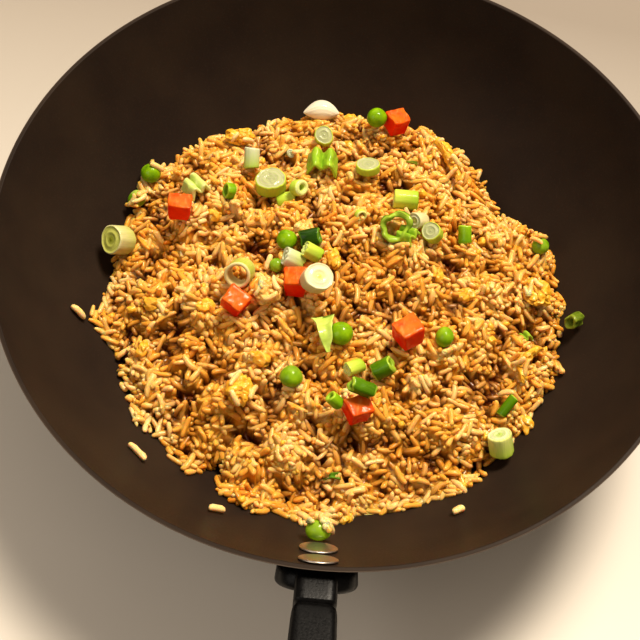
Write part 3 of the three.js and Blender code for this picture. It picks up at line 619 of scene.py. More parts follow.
# A rivet's head: a flat round button with a soft edge, turned about its shank.
def makeRivet(node, drop, tail):
    sides = 48
    radius, height, slope = (float(v[0]) for v in wallSpots(np.array([drop])))
    turn = np.linspace(0, math.pi / 2, 6)
    edge, dome, shank = handle["headEdge"], handle["headDome"], handle["shankRadius"]
    head, foot = handle["headRadius"], handle["headFoot"]
    top = foot + handle["headHeight"]
    sectionRadius = np.concatenate(((0, shank, shank, head - 0.2, head), head - edge * (1 - np.cos(turn)),
                                    (head * 0.75, head * 0.4, 0)))
    sectionHeight = np.concatenate(((-1.3, -1.3, foot, foot, foot + 0.15),
                                    top - dome - edge * (1 - np.sin(turn)), (top - dome / 2, top, top)))
    points = turnedSurface(sectionRadius, sectionHeight, sides)
    groups = list(poledFaces(len(sectionRadius) - 2, sides))
    cosine, sine = math.cos(slope), math.sin(slope)
    axes = np.array(((1, 0, 0), (0, cosine, -sine), (0, sine, cosine)))
    place = np.array((0, -radius, height))
    if tail:
        out = -(bracketFace + max(drop - wok["rimBand"], 0) ** 2 / wok["bowlRadius"] + handle["gap"])
        tailRadius = np.array((0, 3.0, 3.9, 4.2, 4.2, 2.4, 0))
        tailHeight = np.array((out - 1.4, out - 1.4, out - 1.2, out - 0.8, out, out, out + 2))
        tailPoints = turnedSurface(tailRadius, tailHeight, sides)
        groups += [g + len(points) for g in poledFaces(len(tailRadius) - 2, sides)]
        points = np.concatenate((points, tailPoints))
    makePiece(node, "rivet", points @ axes + place, groups)


makeGrip()
makeBracketPlate()
makeNeck()
makeRivet("rivet_upper", handle["rivetDrops"][0], False)
makeRivet("rivet_lower", handle["rivetDrops"][1], True)
print("handle made")


# ---- shape of the heap

heap = {"radius": 93.0, "peak": 54.0, "fall": 20.0, "edgeDepth": 9.0, "steepness": 14, "depth": 7.5,
        "spread": 100.0, "ragged": 2.2, "raggedSpacing": 11.0, "sunkFrom": 2.4, "sunkTo": 9.0,
        "sunkPower": 1.4, "pile": 2.4, "pileReach": 2.8}
# how many humps of each kind, their least and most radius, the range of their tops, how far each falls at its
# radius, their lowest level and the first of their random numbers
clumps = (150, (7.5, 12.5), 3.4, 5.5, -5.0, 1)
lumps = (520, (3.6, 6.0), 2.4, 3.4, -2.6, 11)
# azimuth, extra radius and half width in degrees of the bays and tongues of its loose grains
heapTongues = ((-156, -5, 4), (-132, -5, 3), (-83, 7, 12), (-27, -4, 6), (9, -4, 5), (30, -2.5, 4),
               (54, -4, 6), (111, -2.5, 5), (132, -3, 4), (144, 5, 3))
# azimuth, extra radius and half width in degrees of the lobes round its edge
heapLobes = ((-168, 7, 8), (-138, 5, 10), (-124, 5, 5), (-105, 9, 20), (-117, -10, 3), (-92, 5, 6),
             (-60, 6, 14), (-16, 3, 7), (19, 4, 5), (37, -8, 13), (148, 5, 13))
# x, y, radius and height of the hollows and humps of its top
heapRelief = ((-54, 4, 13, -5), (-70, -2, 9, -3), (-62, 30, 12, 2), (22, 2, 24, 2), (2, -44, 14, -2.5),
              (60, 12, 14, 2), (66, -30, 12, -2.5))


def lobesAt(azimuth, lobes):
    total = np.zeros(np.shape(azimuth))
    for middle, reach, width in lobes:
        away = (azimuth - math.radians(middle) + math.pi) % (2 * math.pi) - math.pi
        total += reach * np.exp(-(away / math.radians(width)) ** 2)
    return total


def heapEdge(azimuth):
    return heap["radius"] + lobesAt(azimuth, heapLobes)


# a repeatable number in 0..1 for each clump and use
def clumpShare(index, use):
    value = np.sin(index * 127.1 + use * 311.7) * 43758.5453
    return value - np.floor(value)


# height of the highest clump over each spot: clumps lie on an even spiral, each shifted, and fall with the
# square of the distance from their middle
def clumpHeight(x, y, count, radii, rise, drop, floor, firstUse):
    index = np.arange(count)
    azimuth, away = index * math.radians(137.508), heap["spread"] * np.sqrt((index + 0.5) / count)
    narrow, wide = radii
    shift = 0.4 * wide
    middleX = away * np.cos(azimuth) + shift * (2 * clumpShare(index, firstUse) - 1)
    middleY = away * np.sin(azimuth) + shift * (2 * clumpShare(index, firstUse + 1) - 1)
    radius = narrow + (wide - narrow) * clumpShare(index, firstUse + 2)
    top = rise * (clumpShare(index, firstUse + 3) - 0.5)
    height = np.full(np.shape(x), floor)
    for k in index:
        apart = ((x - middleX[k]) ** 2 + (y - middleY[k]) ** 2) / radius[k] ** 2
        height = np.maximum(height, top[k] - drop * apart)
    return height


# height of the heap without its clumps: a dome with a steep edge on the wall, and the named hollows and humps
def heapDome(x, y):
    radius = np.hypot(x, y)
    out = radius / heapEdge(np.arctan2(y, x))
    wall = wallHeight(radius)
    depth = np.maximum(heap["peak"] - heap["fall"] * out ** 2 - wall, heap["edgeDepth"])
    height = wall + depth * np.sqrt(np.maximum(1 - out ** heap["steepness"], 0))
    for placeX, placeY, radius, rise in heapRelief:
        height += rise * np.exp(-((x - placeX) ** 2 + (y - placeY) ** 2) / radius ** 2)
    return height


# x and y of a square grid of spots over the whole wok
def spotGrid(count):
    line = np.linspace(-gridReach, gridReach, count)
    return np.meshgrid(line, line, indexing="ij")


# The surfaces that the grains lie between, read off a 1 mm grid.
gridReach = 120
gridX, gridY = spotGrid(2 * gridReach + 1)
gridRadius = np.hypot(gridX, gridY)
domeGrid = heapDome(gridX, gridY)
clumpGrid = clumpHeight(gridX, gridY, *clumps)
topGrid = domeGrid + clumpGrid + clumpHeight(gridX, gridY, *lumps)
bedGrid = topGrid - heap["depth"]
wallGrid = wallHeight(gridRadius)


def readGrid(grid, x, y):
    cell = 2 * gridReach / (len(grid) - 1)
    u = np.clip((x + gridReach) / cell, 0, len(grid) - 1.001)
    v = np.clip((y + gridReach) / cell, 0, len(grid) - 1.001)
    i, j = u.astype(int), v.astype(int)
    a, b = u - i, v - j
    return ((grid[i, j] * (1 - b) + grid[i, j + 1] * b) * (1 - a)
            + (grid[i + 1, j] * (1 - b) + grid[i + 1, j + 1] * b) * a)


# the edge with the ragged clumps that stand out of it
def raggedEdge(azimuth):
    edge = heapEdge(azimuth) + lobesAt(azimuth, heapTongues)
    around = np.stack((edge * np.cos(azimuth), edge * np.sin(azimuth)), -1)
    return edge + heap["ragged"] * waves(around, heap["raggedSpacing"], 19)


slopeX, slopeY = np.gradient(domeGrid + 0.6 * clumpGrid)       # the small lumps would turn it too fast


# how far a spot has sunk below the heap's brow, from 0 near the tops to 1 in the crevices; deeper spots get
# more painted shade and sauce
def sunkShare(depth):
    share = (depth - heap["sunkFrom"]) / (heap["sunkTo"] - heap["sunkFrom"])
    return np.clip(share, 0, 1) ** heap["sunkPower"]


def heapNormal(x, y):
    return unit(np.stack((-readGrid(slopeX, x, y), -readGrid(slopeY, x, y), np.ones(np.shape(x))), -1))


# ---- toppings: what each piece is and how it lies; its place is its node's box

# size: across x, y and z. dull: how much of the skin has lost its green
peas = asTable(("size", "dull"), {
    "pea_01": ((8.4, 8.2, 7.9), 0), "pea_02": ((7.4, 7.2, 6.9), 0.5), "pea_03": ((8.0, 8.0, 7.5), 0),
    "pea_04": ((5.8, 5.6, 5.4), 0.1), "pea_05": ((9.2, 9.0, 8.6), 0), "pea_06": ((8.4, 8.5, 8.0), 0.1),
    "pea_07": ((6.9, 7.9, 7.3), 0.05), "pea_08": ((8.5, 8.3, 8.0), 0), "pea_09": ((7.2, 7.0, 6.7), 0.1),
    "pea_10": ((8.8, 7.6, 7.2), 0.15),
})
# turn: degrees about the piece's x, y and z
carrots = asTable(("size", "turn"), {
    "carrot_01": ((8.8, 7.6, 8.2), (-12, 4, 4)), "carrot_02": ((8.6, 7.8, 8.8), (8, 10, -32)),
    "carrot_03": ((8.5, 8, 9.5), (-4, 0, 3)), "carrot_04": ((9.2, 8.8, 9), (-10, -4, 35)),
    "carrot_05": ((8.8, 7.8, 8), (-6, 10, 28)), "carrot_06": ((8.2, 7.8, 8.4), (-8, 8, 30)),
})
# bend: how far the middle of a long piece stands out sideways
eggs = asTable(("size", "turn", "bend", "finish"), {
    "egg_01": ((13, 8, 7), (0, 0, 15), 0, "egg"), "egg_02": ((14, 10, 7), (0, 0, 100), 0, "egg"),
    "egg_03": ((13, 12, 7), (0, 10, 60), 0, "egg"), "egg_04": ((19, 4.5, 5), (0, 0, 62), 3.8, "egg"),
    "egg_05": ((24, 5, 6), (0, 0, -62), 1.8, "egg"), "egg_06": ((12, 11, 8), (0, 0, 20), 0, "eggWhite"),
})
# smaller pieces of egg, half buried: x, y, length, width, turn
eggBits = ((-73, -36, 7, 5, 70), (-27, -43, 9, 6, -35), (9, -96, 7, 6.5, 0), (-3, 3, 6, 11, 15),
           (76, -50, 6, 10, 10), (0, 89, 9, 6, -25), (-0.5, 64, 4, 8, 25), (-51, -20, 8, 7, 0),
           (50, -6, 8, 6, 20), (-72, -19, 7, 5, 0), (38, 0, 4, 7, 0), (-52, 22, 6, 5, 0), (56, 22, 6, 4, 40),
           (30, 40, 5, 4, 0), (60, -22, 5, 4, 0))
bulb = {"node": "onion_bulb_slice", "size": (16, 9, 8), "turn": (0, 0, 4)}
# log: a cut length of stem. ring: a hollow length. fold: a crumpled length. leaf: a cupped leaf.
# axis: azimuth and elevation of the end that faces up or out. frayed: how unevenly it is torn.
onionKeys = ("kind", "axis", "across", "long", "wall", "frayed", "finish")
springOnions = asTable(onionKeys, {
    "01": ("log", (-136, 46), 11.2, 9, 0, 0, "olive"),
    "02": ("ring", (-109, 33), 11, 6, 1.6, 0, "ring"),
    "03": ("log", (-28, 68), 11.2, 5.4, 0, 0, "cream"),
    "04": ("log", (176, 30), 6.8, 7.6, 0, 0.6, "white"),
    "05": ("log", (170, 28), 6, 6.8, 0, 0.6, "light"),
    "06": ("ring", (11, 12), 6.6, 8, 1.7, 0.3, "deep"),
    "07": ("log", (130, 84), 12, 5.4, 0, 0.3, "layered"),
    "08": ("ring", (-25, 37), 7, 4.8, 2.2, 0, "light"),
    "09": ("fold", (-90, 0), 13.5, 9, 1.5, 0, "bright"),
    "10": ("log", (-94, 73), 8, 3.6, 0, 0, "layered"),
    "11": ("log", (93, 36), 6.6, 8, 0, 0, "white"),
    "12": ("fold", (-48, 8), 9.5, 8.4, 1.6, 0, "light"),
    "13": ("ring", (-168, 20), 7, 3.8, 1.3, 0.3, "bright"),
    "14": ("log", (100, 70), 9.4, 3.4, 0, 0, "layered"),
    "15": ("log", (-179, 1), 7.9, 9.2, 0, 0, "light"),
    "16": ("ring", (-91, 52), 12, 5, 2.2, 1.0, "dark"),
    "17": ("log", (-147, 34), 6.6, 5.5, 0, 0, "cream"),
    "18": ("log", (-159, 63), 8, 4, 0, 0, "layered"),
    "19": ("ring", (97, 33), 5.2, 7.4, 1.4, 0.3, "bright"),
    "20": ("leaf", (12, 4), 14.5, 8.5, 1.1, 0, "tail"),
    "21": ("log", (-146, 15), 5.6, 6.4, 0, 0.7, "light"),
    "22": ("ring", (22, 30), 7, 8, 1.8, 0.4, "dark"),
    "23": ("ring", (173, 24), 6.4, 8.8, 1.8, 0.6, "dark"),
    "24": ("ring", (156, 38), 5.2, 5.4, 1.5, 0.3, "bright"),
    "25": ("log", (114, 52), 9.6, 7.8, 0, 0.2, "pale"),
    "26": ("ring", (53, 24), 3.8, 9, 1.2, 0, "dark"),
    "27": ("ring", (-143, 24), 6.2, 5.6, 2, 1.0, "moss"),
})


# the solids that the grains keep off: middle, own axes as rows, half sizes, and the shape each counts as
def gatherObstacles():
    found = [(middleOf(n), np.eye(3), np.array(p["size"]) / 2, "ball") for n, p in peas.items()]
    found += [(middleOf(n), turned(*c["turn"]), np.array(c["size"]) / 2, "block") for n, c in carrots.items()]
    found += [(middleOf(n), turned(*e["turn"]), np.array(e["size"]) / 2, "ball")
              for n, e in (*eggs.items(), (bulb["node"], bulb))]
    for number, piece in springOnions.items():
        depth = 5 if piece["kind"] in ("fold", "leaf") else 2
        half = np.array((piece["across"] / 2, piece["across"] / depth, piece["long"] / 2))
        found.append((middleOf("spring_onion_" + number), attitude(*piece["axis"]), half, "log"))
    return found


# the grains pile up a little round each topping, away from the heap's edge
def pileRound(obstacles):
    pile = np.zeros_like(topGrid)
    for middle, axes, half, shape in obstacles:
        apart = np.hypot(gridX - middle[0], gridY - middle[1]) - np.sort(half)[1]
        pile = np.maximum(pile, np.exp(-(apart / heap["pileReach"]) ** 2))
    out = gridRadius / heapEdge(np.arctan2(gridY, gridX))
    return heap["pile"] * pile * np.clip((0.95 - out) / 0.06, 0, 1)


obstacles = gatherObstacles()
topGrid += pileRound(obstacles)


# how far points in a solid's own axes must move to be clear of it by a margin, and which way
def pushOut(local, half, shape, margin):
    if shape == "ball":
        share = np.linalg.norm(local / half, axis=-1, keepdims=True)
        way = unit(local / half ** 2 + 1e-9)
        depth = margin + (1 - share) * half.min()
        return np.maximum(depth, 0) * way
    if shape == "log":
        away = np.maximum(np.hypot(local[:, 0], local[:, 1]), 1e-6)
        flat = np.stack((away, np.abs(local[:, 2])), -1)
        limit = np.array((half[:2].min(), half[2]))
    else:
        flat, limit = np.abs(local), half
    beyond = flat - limit
    outside = np.maximum(beyond, 0)
    distance = np.linalg.norm(outside, axis=-1, keepdims=True) + np.minimum(beyond.max(-1, keepdims=True), 0)
    nearest = (beyond == beyond.max(-1, keepdims=True)).astype(float)
    way = np.where(beyond.max(-1, keepdims=True) > 0, outside, nearest)
    way = unit(way + 1e-12) * np.maximum(margin - distance, 0)
    if shape == "log":
        outward = way[:, :1] * local[:, :2] / away[:, None]
        return np.concatenate((outward, way[:, 1:] * np.sign(local[:, 2:])), -1)
    return way * np.sign(local)


# ---- rice

# The grains' number and sizes, how they are strewn and settle, and what binds and stains them, with the
# painted shade in their gaps and on their undersides. bundled is the share that lies along its neighbours,
# sink the share of a grain's radius that keeps others off, and ease how much of a push a grain takes.
rice = {"grains": 7400, "length": 7.8, "lengthSpread": 1.0, "shortest": 5.6, "longest": 10.2, "width": 2.4,
        "widthSpread": 0.16, "broken": 0.26, "sides": 6, "reach": 110.0, "tries": 12, "leastLayer": 3.4,
        "bundled": 0.45, "bundling": 1.6, "bundleSpacing": 15, "seed": 5,
        "steps": 45, "calm": 40, "relook": 5, "samples": 4, "pull": 0.03, "sink": 0.7, "slack": 0.9,
        "slackForce": 0.25, "ease": 1.5, "easePower": 0.75,
        "mushDepth": 0.6, "mushReach": 0.925, "pocketDepth": 3.0, "pocketSpacing": 7.0, "gap": 3.4,
        "gapPower": 1.9, "gapSauceAndShade": 0.95, "stain": 0.3, "tone": 0.36, "toneSpread": 0.07,
        "shades": (0.29, 0.36, 0.43)}
# where the rings of a grain lie between its ends, and how thick it is there
grainLevels = np.array((-0.97, -0.86, -0.5, 0.0, 0.5, 0.86, 0.97))
grainSwell = np.sqrt(1 - np.abs(grainLevels) ** 6)


# pairs of points of different owners closer than reach, through a grid of cells as wide as reach
def nearPairs(points, owner, reach):
    cell = np.floor((points - points.min(0)) / reach).astype(np.int64) + 1
    size = cell.max(0) + 2
    key = (cell[:, 0] * size[1] + cell[:, 1]) * size[2] + cell[:, 2]
    order = np.argsort(key, kind="stable")
    ranked = key[order]
    firsts, seconds = [], []
    for dx in (0, 1):
        for dy in (-1, 0, 1):
            for dz in (-1, 0, 1):
                shift = (dx * size[1] + dy) * size[2] + dz
                if shift < 0:
                    continue
                low = np.searchsorted(ranked, key + shift, "left")
                count = np.searchsorted(ranked, key + shift, "right") - low
                first = np.repeat(np.arange(len(key)), count)
                second = order[np.repeat(low - np.cumsum(count) + count, count) + np.arange(count.sum())]
                keep = owner[first] < owner[second] if shift == 0 else owner[first] != owner[second]
                firsts.append(first[keep])
                seconds.append(second[keep])
    first, second = np.concatenate(firsts), np.concatenate(seconds)
    near = ((points[first] - points[second]) ** 2).sum(-1) < reach ** 2
    return first[near], second[near]


# random grains through the layer of loose rice: places, directions, lengths and widths
def scatterGrains():
    random = np.random.default_rng(rice["seed"])
    tries = rice["tries"] * rice["grains"]
    radius = rice["reach"] * np.sqrt(random.uniform(0, 1, tries))
    azimuth = random.uniform(-math.pi, math.pi, tries)
    x, y = radius * np.cos(azimuth), radius * np.sin(azimuth)
    low = np.maximum(readGrid(bedGrid, x, y), readGrid(wallGrid, x, y))
    layer = np.maximum(readGrid(topGrid, x, y) - low, rice["leastLayer"])
    room = np.where(radius < raggedEdge(azimuth) + 1, layer, 0)
    chosen = np.flatnonzero(random.uniform(0, heap["depth"] + 2, tries) < room)[:rice["grains"]]
    x, y, low, room = x[chosen], y[chosen], low[chosen], room[chosen]
    z = low + 1.1 + random.uniform(0, 1, len(chosen)) * np.maximum(room - 1.6, 0.3)
    middle = np.stack((x, y, z), -1)
    way = random.normal(size=(len(chosen), 3))
    lean = 2.2 * math.pi * waves(middle[:, :2], rice["bundleSpacing"], 21)
    bundled = random.uniform(0, 1, (len(chosen), 1)) < rice["bundled"]
    grainLine = np.stack((np.cos(lean), np.sin(lean), np.zeros(len(lean))), -1)
    way += np.where(bundled, rice["bundling"], 0) * grainLine
    length = random.normal(rice["length"], rice["lengthSpread"], len(chosen))
    length = np.clip(length, rice["shortest"], rice["longest"])
    broken = random.uniform(0, 1, len(chosen)) < rice["broken"]
    length = np.where(broken, length * random.uniform(0.38, 0.72, len(chosen)), length)
    width = rice["width"] * (1 + rice["widthSpread"] * random.uniform(-1, 1, len(chosen)))
    return middle, unit(way), length, width


# Position-based dynamics: each grain is a stiff rod of round samples. Overlapping samples push each other
# apart, the bed, the pan's wall and the toppings push them out, and a steady pull brings them down.
def settleGrains(middle, way, length, width, obstacles):
    count, samples = len(middle), rice["samples"]
    half = ((length - width) / 2)[:, None]
    low, high = middle - way * half, middle + way * half
    share = np.linspace(0, 1, samples)
    weight = (1 - share) ** 2 + share ** 2
    lowWeight, highWeight = np.tile((1 - share) / weight, count), np.tile(share / weight, count)
    owner = np.repeat(np.arange(count), samples)
    size = np.repeat(rice["sink"] * width / 2, samples)
    pull = heapNormal(middle[:, 0], middle[:, 1])
    nearby = []
    for step in range(rice["steps"] + rice["calm"]):
        if step < rice["steps"]:
            low -= rice["pull"] * pull
            high -= rice["pull"] * pull
        points = (low[:, None] * (1 - share[:, None]) + high[:, None] * share[:, None]).reshape(-1, 3)
        if step % rice["relook"] == 0:
            first, second = nearPairs(points, owner, rice["width"] * (1 + rice["widthSpread"]) + 0.5)
            nearby = [np.flatnonzero(((points - place) ** 2).sum(-1) < (np.linalg.norm(box) + 3) ** 2)
                      for place, axes, box, shape in obstacles]
        gapBetween = points[first] - points[second]
        distance = np.maximum(np.linalg.norm(gapBetween, axis=-1), 1e-6)
        overlap = size[first] + size[second] - distance
        touching = overlap > 0
        a, b = first[touching], second[touching]
        push = gapBetween[touching] / distance[touching, None] * (0.5 * overlap[touching, None])
        moved = np.concatenate((push, -push))
        who = np.concatenate((a, b))
        x, y = points[:, 0], points[:, 1]
        radius = np.hypot(x, y)
        bed = readGrid(bedGrid, x, y) + size - points[:, 2]
        slope = wallSlope(radius)
        wallGap = size - (points[:, 2] - wallHeight(radius)) * np.cos(slope)
        inward = np.stack((-np.sin(slope) * x / radius, -np.sin(slope) * y / radius, np.cos(slope)), -1)
        over = points[:, 2] + size - readGrid(topGrid, x, y) - rice["slack"]
        extra, extraWho = [], []
        upward = np.broadcast_to((0.0, 0.0, 1.0), points.shape)
        limits = ((bed, upward, 1.0), (wallGap, inward, 1.0), (over, -upward, rice["slackForce"]))
        for depth, facing, force in limits:
            hit = np.flatnonzero(depth > 0)
            extra.append(depth[hit, None] * facing[hit] * force)
            extraWho.append(hit)
        for (place, axes, box, shape), near in zip(obstacles, nearby):
            out = pushOut((points[near] - place) @ axes.T, box, shape, size[near][:, None])
            hit = np.abs(out).sum(-1) > 0
            extra.append(out[hit] @ axes)
            extraWho.append(near[hit])
        moved = np.concatenate((moved, *extra))
        who = np.concatenate((who, *extraWho))
        grain = owner[who]
        contacts = np.maximum(np.bincount(grain, minlength=count), 1)[:, None]
        ease = rice["ease"] / contacts ** rice["easePower"]
        for end, weights in ((low, lowWeight), (high, highWeight)):
            shares = moved * weights[who][:, None]
            end += ease * np.stack([np.bincount(grain, shares[:, k], count) for k in range(3)], -1)
        centre, line = (low + high) / 2, unit(high - low)
        low, high = centre - line * half, centre + line * half
    return (low + high) / 2, unit(high - low)


# Grains as one mesh, with its faces and how many points each grain has: rings across a slightly bent,
# tapering body with blunt ends.
def grainMesh(middle, way, length, width, seed):
    random = np.random.default_rng(seed)
    count, sides, level = len(middle), rice["sides"], grainLevels
    turn = roundAngles(sides)
    side = unit(np.cross(way, random.normal(size=(count, 3))))
    up = np.cross(way, side)
    taper = random.uniform(-0.16, 0.16, (count, 1))
    bend = random.uniform(0.02, 0.14, (count, 1))
    flat = random.uniform(0.78, 0.96, (count, 1, 1))
    body = grainSwell[None] * (1 + taper * level[None]) * width[:, None] / 2
    rough = 1 + random.normal(0, 0.07, (count, len(level), sides))
    across = body[:, :, None] * rough * np.cos(turn)[None, None]
    along = body[:, :, None] * rough * np.sin(turn)[None, None] * flat
    arch = bend * length[:, None] * (0.45 - level[None] ** 2)
    shift = level[None, :, None, None] * length[:, None, None, None] / 2
    ring = (middle[:, None, None] + way[:, None, None] * shift + up[:, None, None] * along[..., None]
            + side[:, None, None] * (across + arch[:, :, None])[..., None])
    endArch = (bend * length[:, None] * -0.55)[:, 0]
    lowEnd = middle - way * length[:, None] / 2 + side * endArch[:, None]
    highEnd = middle + way * length[:, None] / 2 + side * endArch[:, None]
    points = np.concatenate((lowEnd[:, None], ring.reshape(count, -1, 3), highEnd[:, None]), 1)
    faces = poledFaces(len(level), sides)
    return points.reshape(-1, 3), repeatedFaces(faces, points.shape[1], count), points.shape[1]


# height of the grains' own upper sides over a grid of 0.5 mm squares: each grain is a round bar, so it stands
# above its axis by the root of its radius squared less the distance squared; patch squares reach past its end
def grainHeights(middle, way, length, width):
    cell, patch = 0.5, 11
    count = int(2 * gridReach / cell) + 1
    heights = np.full((count, count), -100.0)
    offsets = np.arange(-patch, patch + 1)
    stepX, stepY = (o.ravel() for o in np.meshgrid(offsets, offsets, indexing="ij"))
    column = np.round((middle[:, :1] + gridReach) / cell).astype(int) + stepX
    row = np.round((middle[:, 1:2] + gridReach) / cell).astype(int) + stepY
    apartX = column * cell - gridReach - middle[:, :1]
    apartY = row * cell - gridReach - middle[:, 1:2]
    flat = np.maximum(way[:, 0] ** 2 + way[:, 1] ** 2, 0.02)[:, None]
    reach = (length[:, None] - width[:, None]) / 2
    along = np.clip((apartX * way[:, :1] + apartY * way[:, 1:2]) / flat, -reach, reach)
    away = (apartX - along * way[:, :1]) ** 2 + (apartY - along * way[:, 1:2]) ** 2
    radius = width[:, None] / 2
    top = middle[:, 2:] + along * way[:, 2:] + np.sqrt(np.maximum(radius ** 2 - away, 0))
    hit = away < radius ** 2
    np.maximum.at(heights, (column[hit], row[hit]), top[hit])
    return heights


# evens out a grid: each spot becomes the mean of its square of neighbours
def soften(grid, reach):
    for axis in (0, 1):
        margins = [(reach + 1, reach) if k == axis else (0, 0) for k in (0, 1)]
        total = np.cumsum(np.pad(grid, margins, "edge"), axis)
        span = 2 * reach + 1
        high = np.take(total, np.arange(span, total.shape[axis]), axis)
        low = np.take(total, np.arange(0, total.shape[axis] - span), axis)
        grid = (high - low) / span
    return grid


# the grains' tops evened out over a few millimetres: what lies under this is in the gaps between them
def makeCrown(grains):
    heights = grainHeights(*grains)
    heights = np.maximum(heights, readGrid(bedGrid, *spotGrid(len(heights))))
    return heights, soften(soften(heights, 4), 4)


# how much dark sauce and painted shade points get, from 0 on the tops to 1 deep in the heap and in the gaps
# between grains and clumps, where shade falls
def sauceAndShadeAt(points):
    x, y, z = points.T
    gaps = rice["gapSauceAndShade"] * np.clip((readGrid(crownGrid, x, y) - z) / rice["gap"], 0, 1) ** rice["gapPower"]
    return 1 - (1 - sunkShare(readGrid(domeGrid, x, y) - z)) * (1 - gaps)


# height of the grains' tops at one spot
def crownAt(x, y):
    return float(readGrid(crownGrid, np.array(float(x)), np.array(float(y))))


# the grains, sorted from pale to browned; each is painted darker on its underside as shade, with sauce
# there too, and darker deep in the gaps as painted shade
def makeRice(*grains):
    random = np.random.default_rng(31)
    middle = grains[0]
    sauce = waves(middle, 26, 41) * 0.1 + waves(middle, 9, 42) * 0.08
    tone = np.clip(rice["tone"] + sauce + random.normal(0, rice["toneSpread"], len(middle)), -0.1, 1.1)
    kinds = np.digitize(tone, rice["shades"])
    for index, name in enumerate(("ricePale", "riceLight", "riceGolden", "riceBrowned")):
        chosen = kinds == index
        points, groups, each = grainMesh(*(values[chosen] for values in grains), 50 + index)
        # painted shade on each grain's underside, with sauce there too, joined with the painted shade in the
        # gaps
        under = (np.repeat(middle[chosen, 2], each) - points[:, 2]) / rice["width"]
        stain = rice["stain"] * np.clip(under + 0.35, 0, 1)
        values = {"tone": np.repeat(tone[chosen], each), "sunk": 1 - (1 - sauceAndShadeAt(points)) * (1 - stain)}
        makePiece("rice_heap", "rice", points, groups, values, name=name)
        print(name, int(chosen.sum()), "grains,", each * 2 - 4, "triangles each")


# The soft rice that binds the grains: it follows their tops, a little lower, down to the pan's wall.
def makeMush():
    heights = soften(soften(topsGrid, 1), 1) - rice["mushDepth"]
    spots = np.stack(spotGrid(len(heights)), -1)
    heights -= rice["pocketDepth"] * np.clip(waves(spots, rice["pocketSpacing"], 63), 0, 1)
    rings, sides = 165, 480
    share = np.linspace(0, 1, rings + 1)[1:]
    angle = np.linspace(-math.pi, math.pi, sides, endpoint=False)
    reach = rice["mushReach"] * raggedEdge(angle)
    x, y = np.outer(share, reach * np.cos(angle)), np.outer(share, reach * np.sin(angle))
    bumps = 0.3 * waves(np.stack((x, y), -1), 1.6, 61)
    floor = wallHeight(np.hypot(x, y)) + 0.3
    top = np.maximum(readGrid(heights, x, y) + bumps, floor)
    upper = np.stack((x, y, top), -1)
    lower = np.stack((x, y, np.minimum(floor, top) - 0.1), -1)[::-6]
    grid = np.concatenate((upper, lower))
    points = withPoles((0, 0, top[0].mean()), grid, (0, 0, wok["wall"] + 0.2))
    # painted shade with the sauce in the gaps, never less than 0.15 as this rice lies below the grains' tops
    values = {"tone": 0.55 + 0.25 * waves(points, 12, 62), "sunk": np.maximum(sauceAndShadeAt(points), 0.15)}
    makePiece("rice_heap", "rice", points, poledFaces(len(grid), sides), values, name="riceMush")


# Crumbs of broken rice and egg caught between the grains: small squat lumps with uneven corners.
def makeCrumbs(name, slot, count, sizes, middle, seed):
    random = np.random.default_rng(seed)
    near = random.integers(0, len(middle), count)
    shift = unit(random.normal(size=(count, 3))) * 1.9
    shift[:, 2] = np.abs(shift[:, 2]) * 0.7
    place = middle[near] + shift
    out = np.hypot(place[:, 0], place[:, 1]) / heapEdge(np.arctan2(place[:, 1], place[:, 0]))
    depth = readGrid(domeGrid, place[:, 0], place[:, 1]) - place[:, 2]
    place = place[(out < 0.97) & (depth > -1.5) & (depth < 6)]
    ball, groups = ballRings(3, 6)
    size = random.uniform(*sizes, (len(place), 1, 1)) * random.uniform(0.7, 1.3, (len(place), 1, 3)) / 2
    rough = 1 + random.normal(0, 0.16, (len(place), len(ball), 1))
    points = (place[:, None] + ball[None] * size * rough).reshape(-1, 3)
    groups = repeatedFaces(groups, len(ball), len(place))
    # the crumbs get the same painted shade and sauce in the gaps as the grains
    values = {"tone": np.repeat(random.uniform(0.1, 0.6, len(place)), len(ball)), "sunk": sauceAndShadeAt(points)}
    makePiece("rice_heap", slot, points, groups, values, name=name)


scattered = scatterGrains()
looseGrains = (*settleGrains(*scattered, obstacles), *scattered[2:])
topsGrid, crownGrid = makeCrown(looseGrains)
makeRice(*looseGrains)
makeMush()
makeCrumbs("riceCrumbs", "rice", 2600, (1.0, 2.6), looseGrains[0], 71)
makeCrumbs("eggCrumbs", "egg", 260, (1.4, 3.2), looseGrains[0], 72)
print("loose rice made")


# ---- vegetables and egg

# A pea: a ball with a faint dent; a dull one is wrinkled.
def makePea(node, pea, seed):
    ball, faces = ballRings(22, 36)
    dent = unit(np.random.default_rng(seed).normal(size=3) + (0, 0, 0.6))
    wrinkle = 0.02 + 0.1 * pea["dull"]
    swell = 1 + wrinkle * waves(ball, 1.4, seed) - 0.07 * np.exp(-((ball - dent) ** 2).sum(-1) / 0.09)
    points = ball * swell[:, None] * np.array(pea["size"]) / 2 + middleOf(node)
    values = {"dull": pea["dull"] * np.clip(1.2 + 1.6 * waves(ball, 1.8, seed + 1), 0, 1.6)}
    makePiece(node, "pea", points, faces, values)


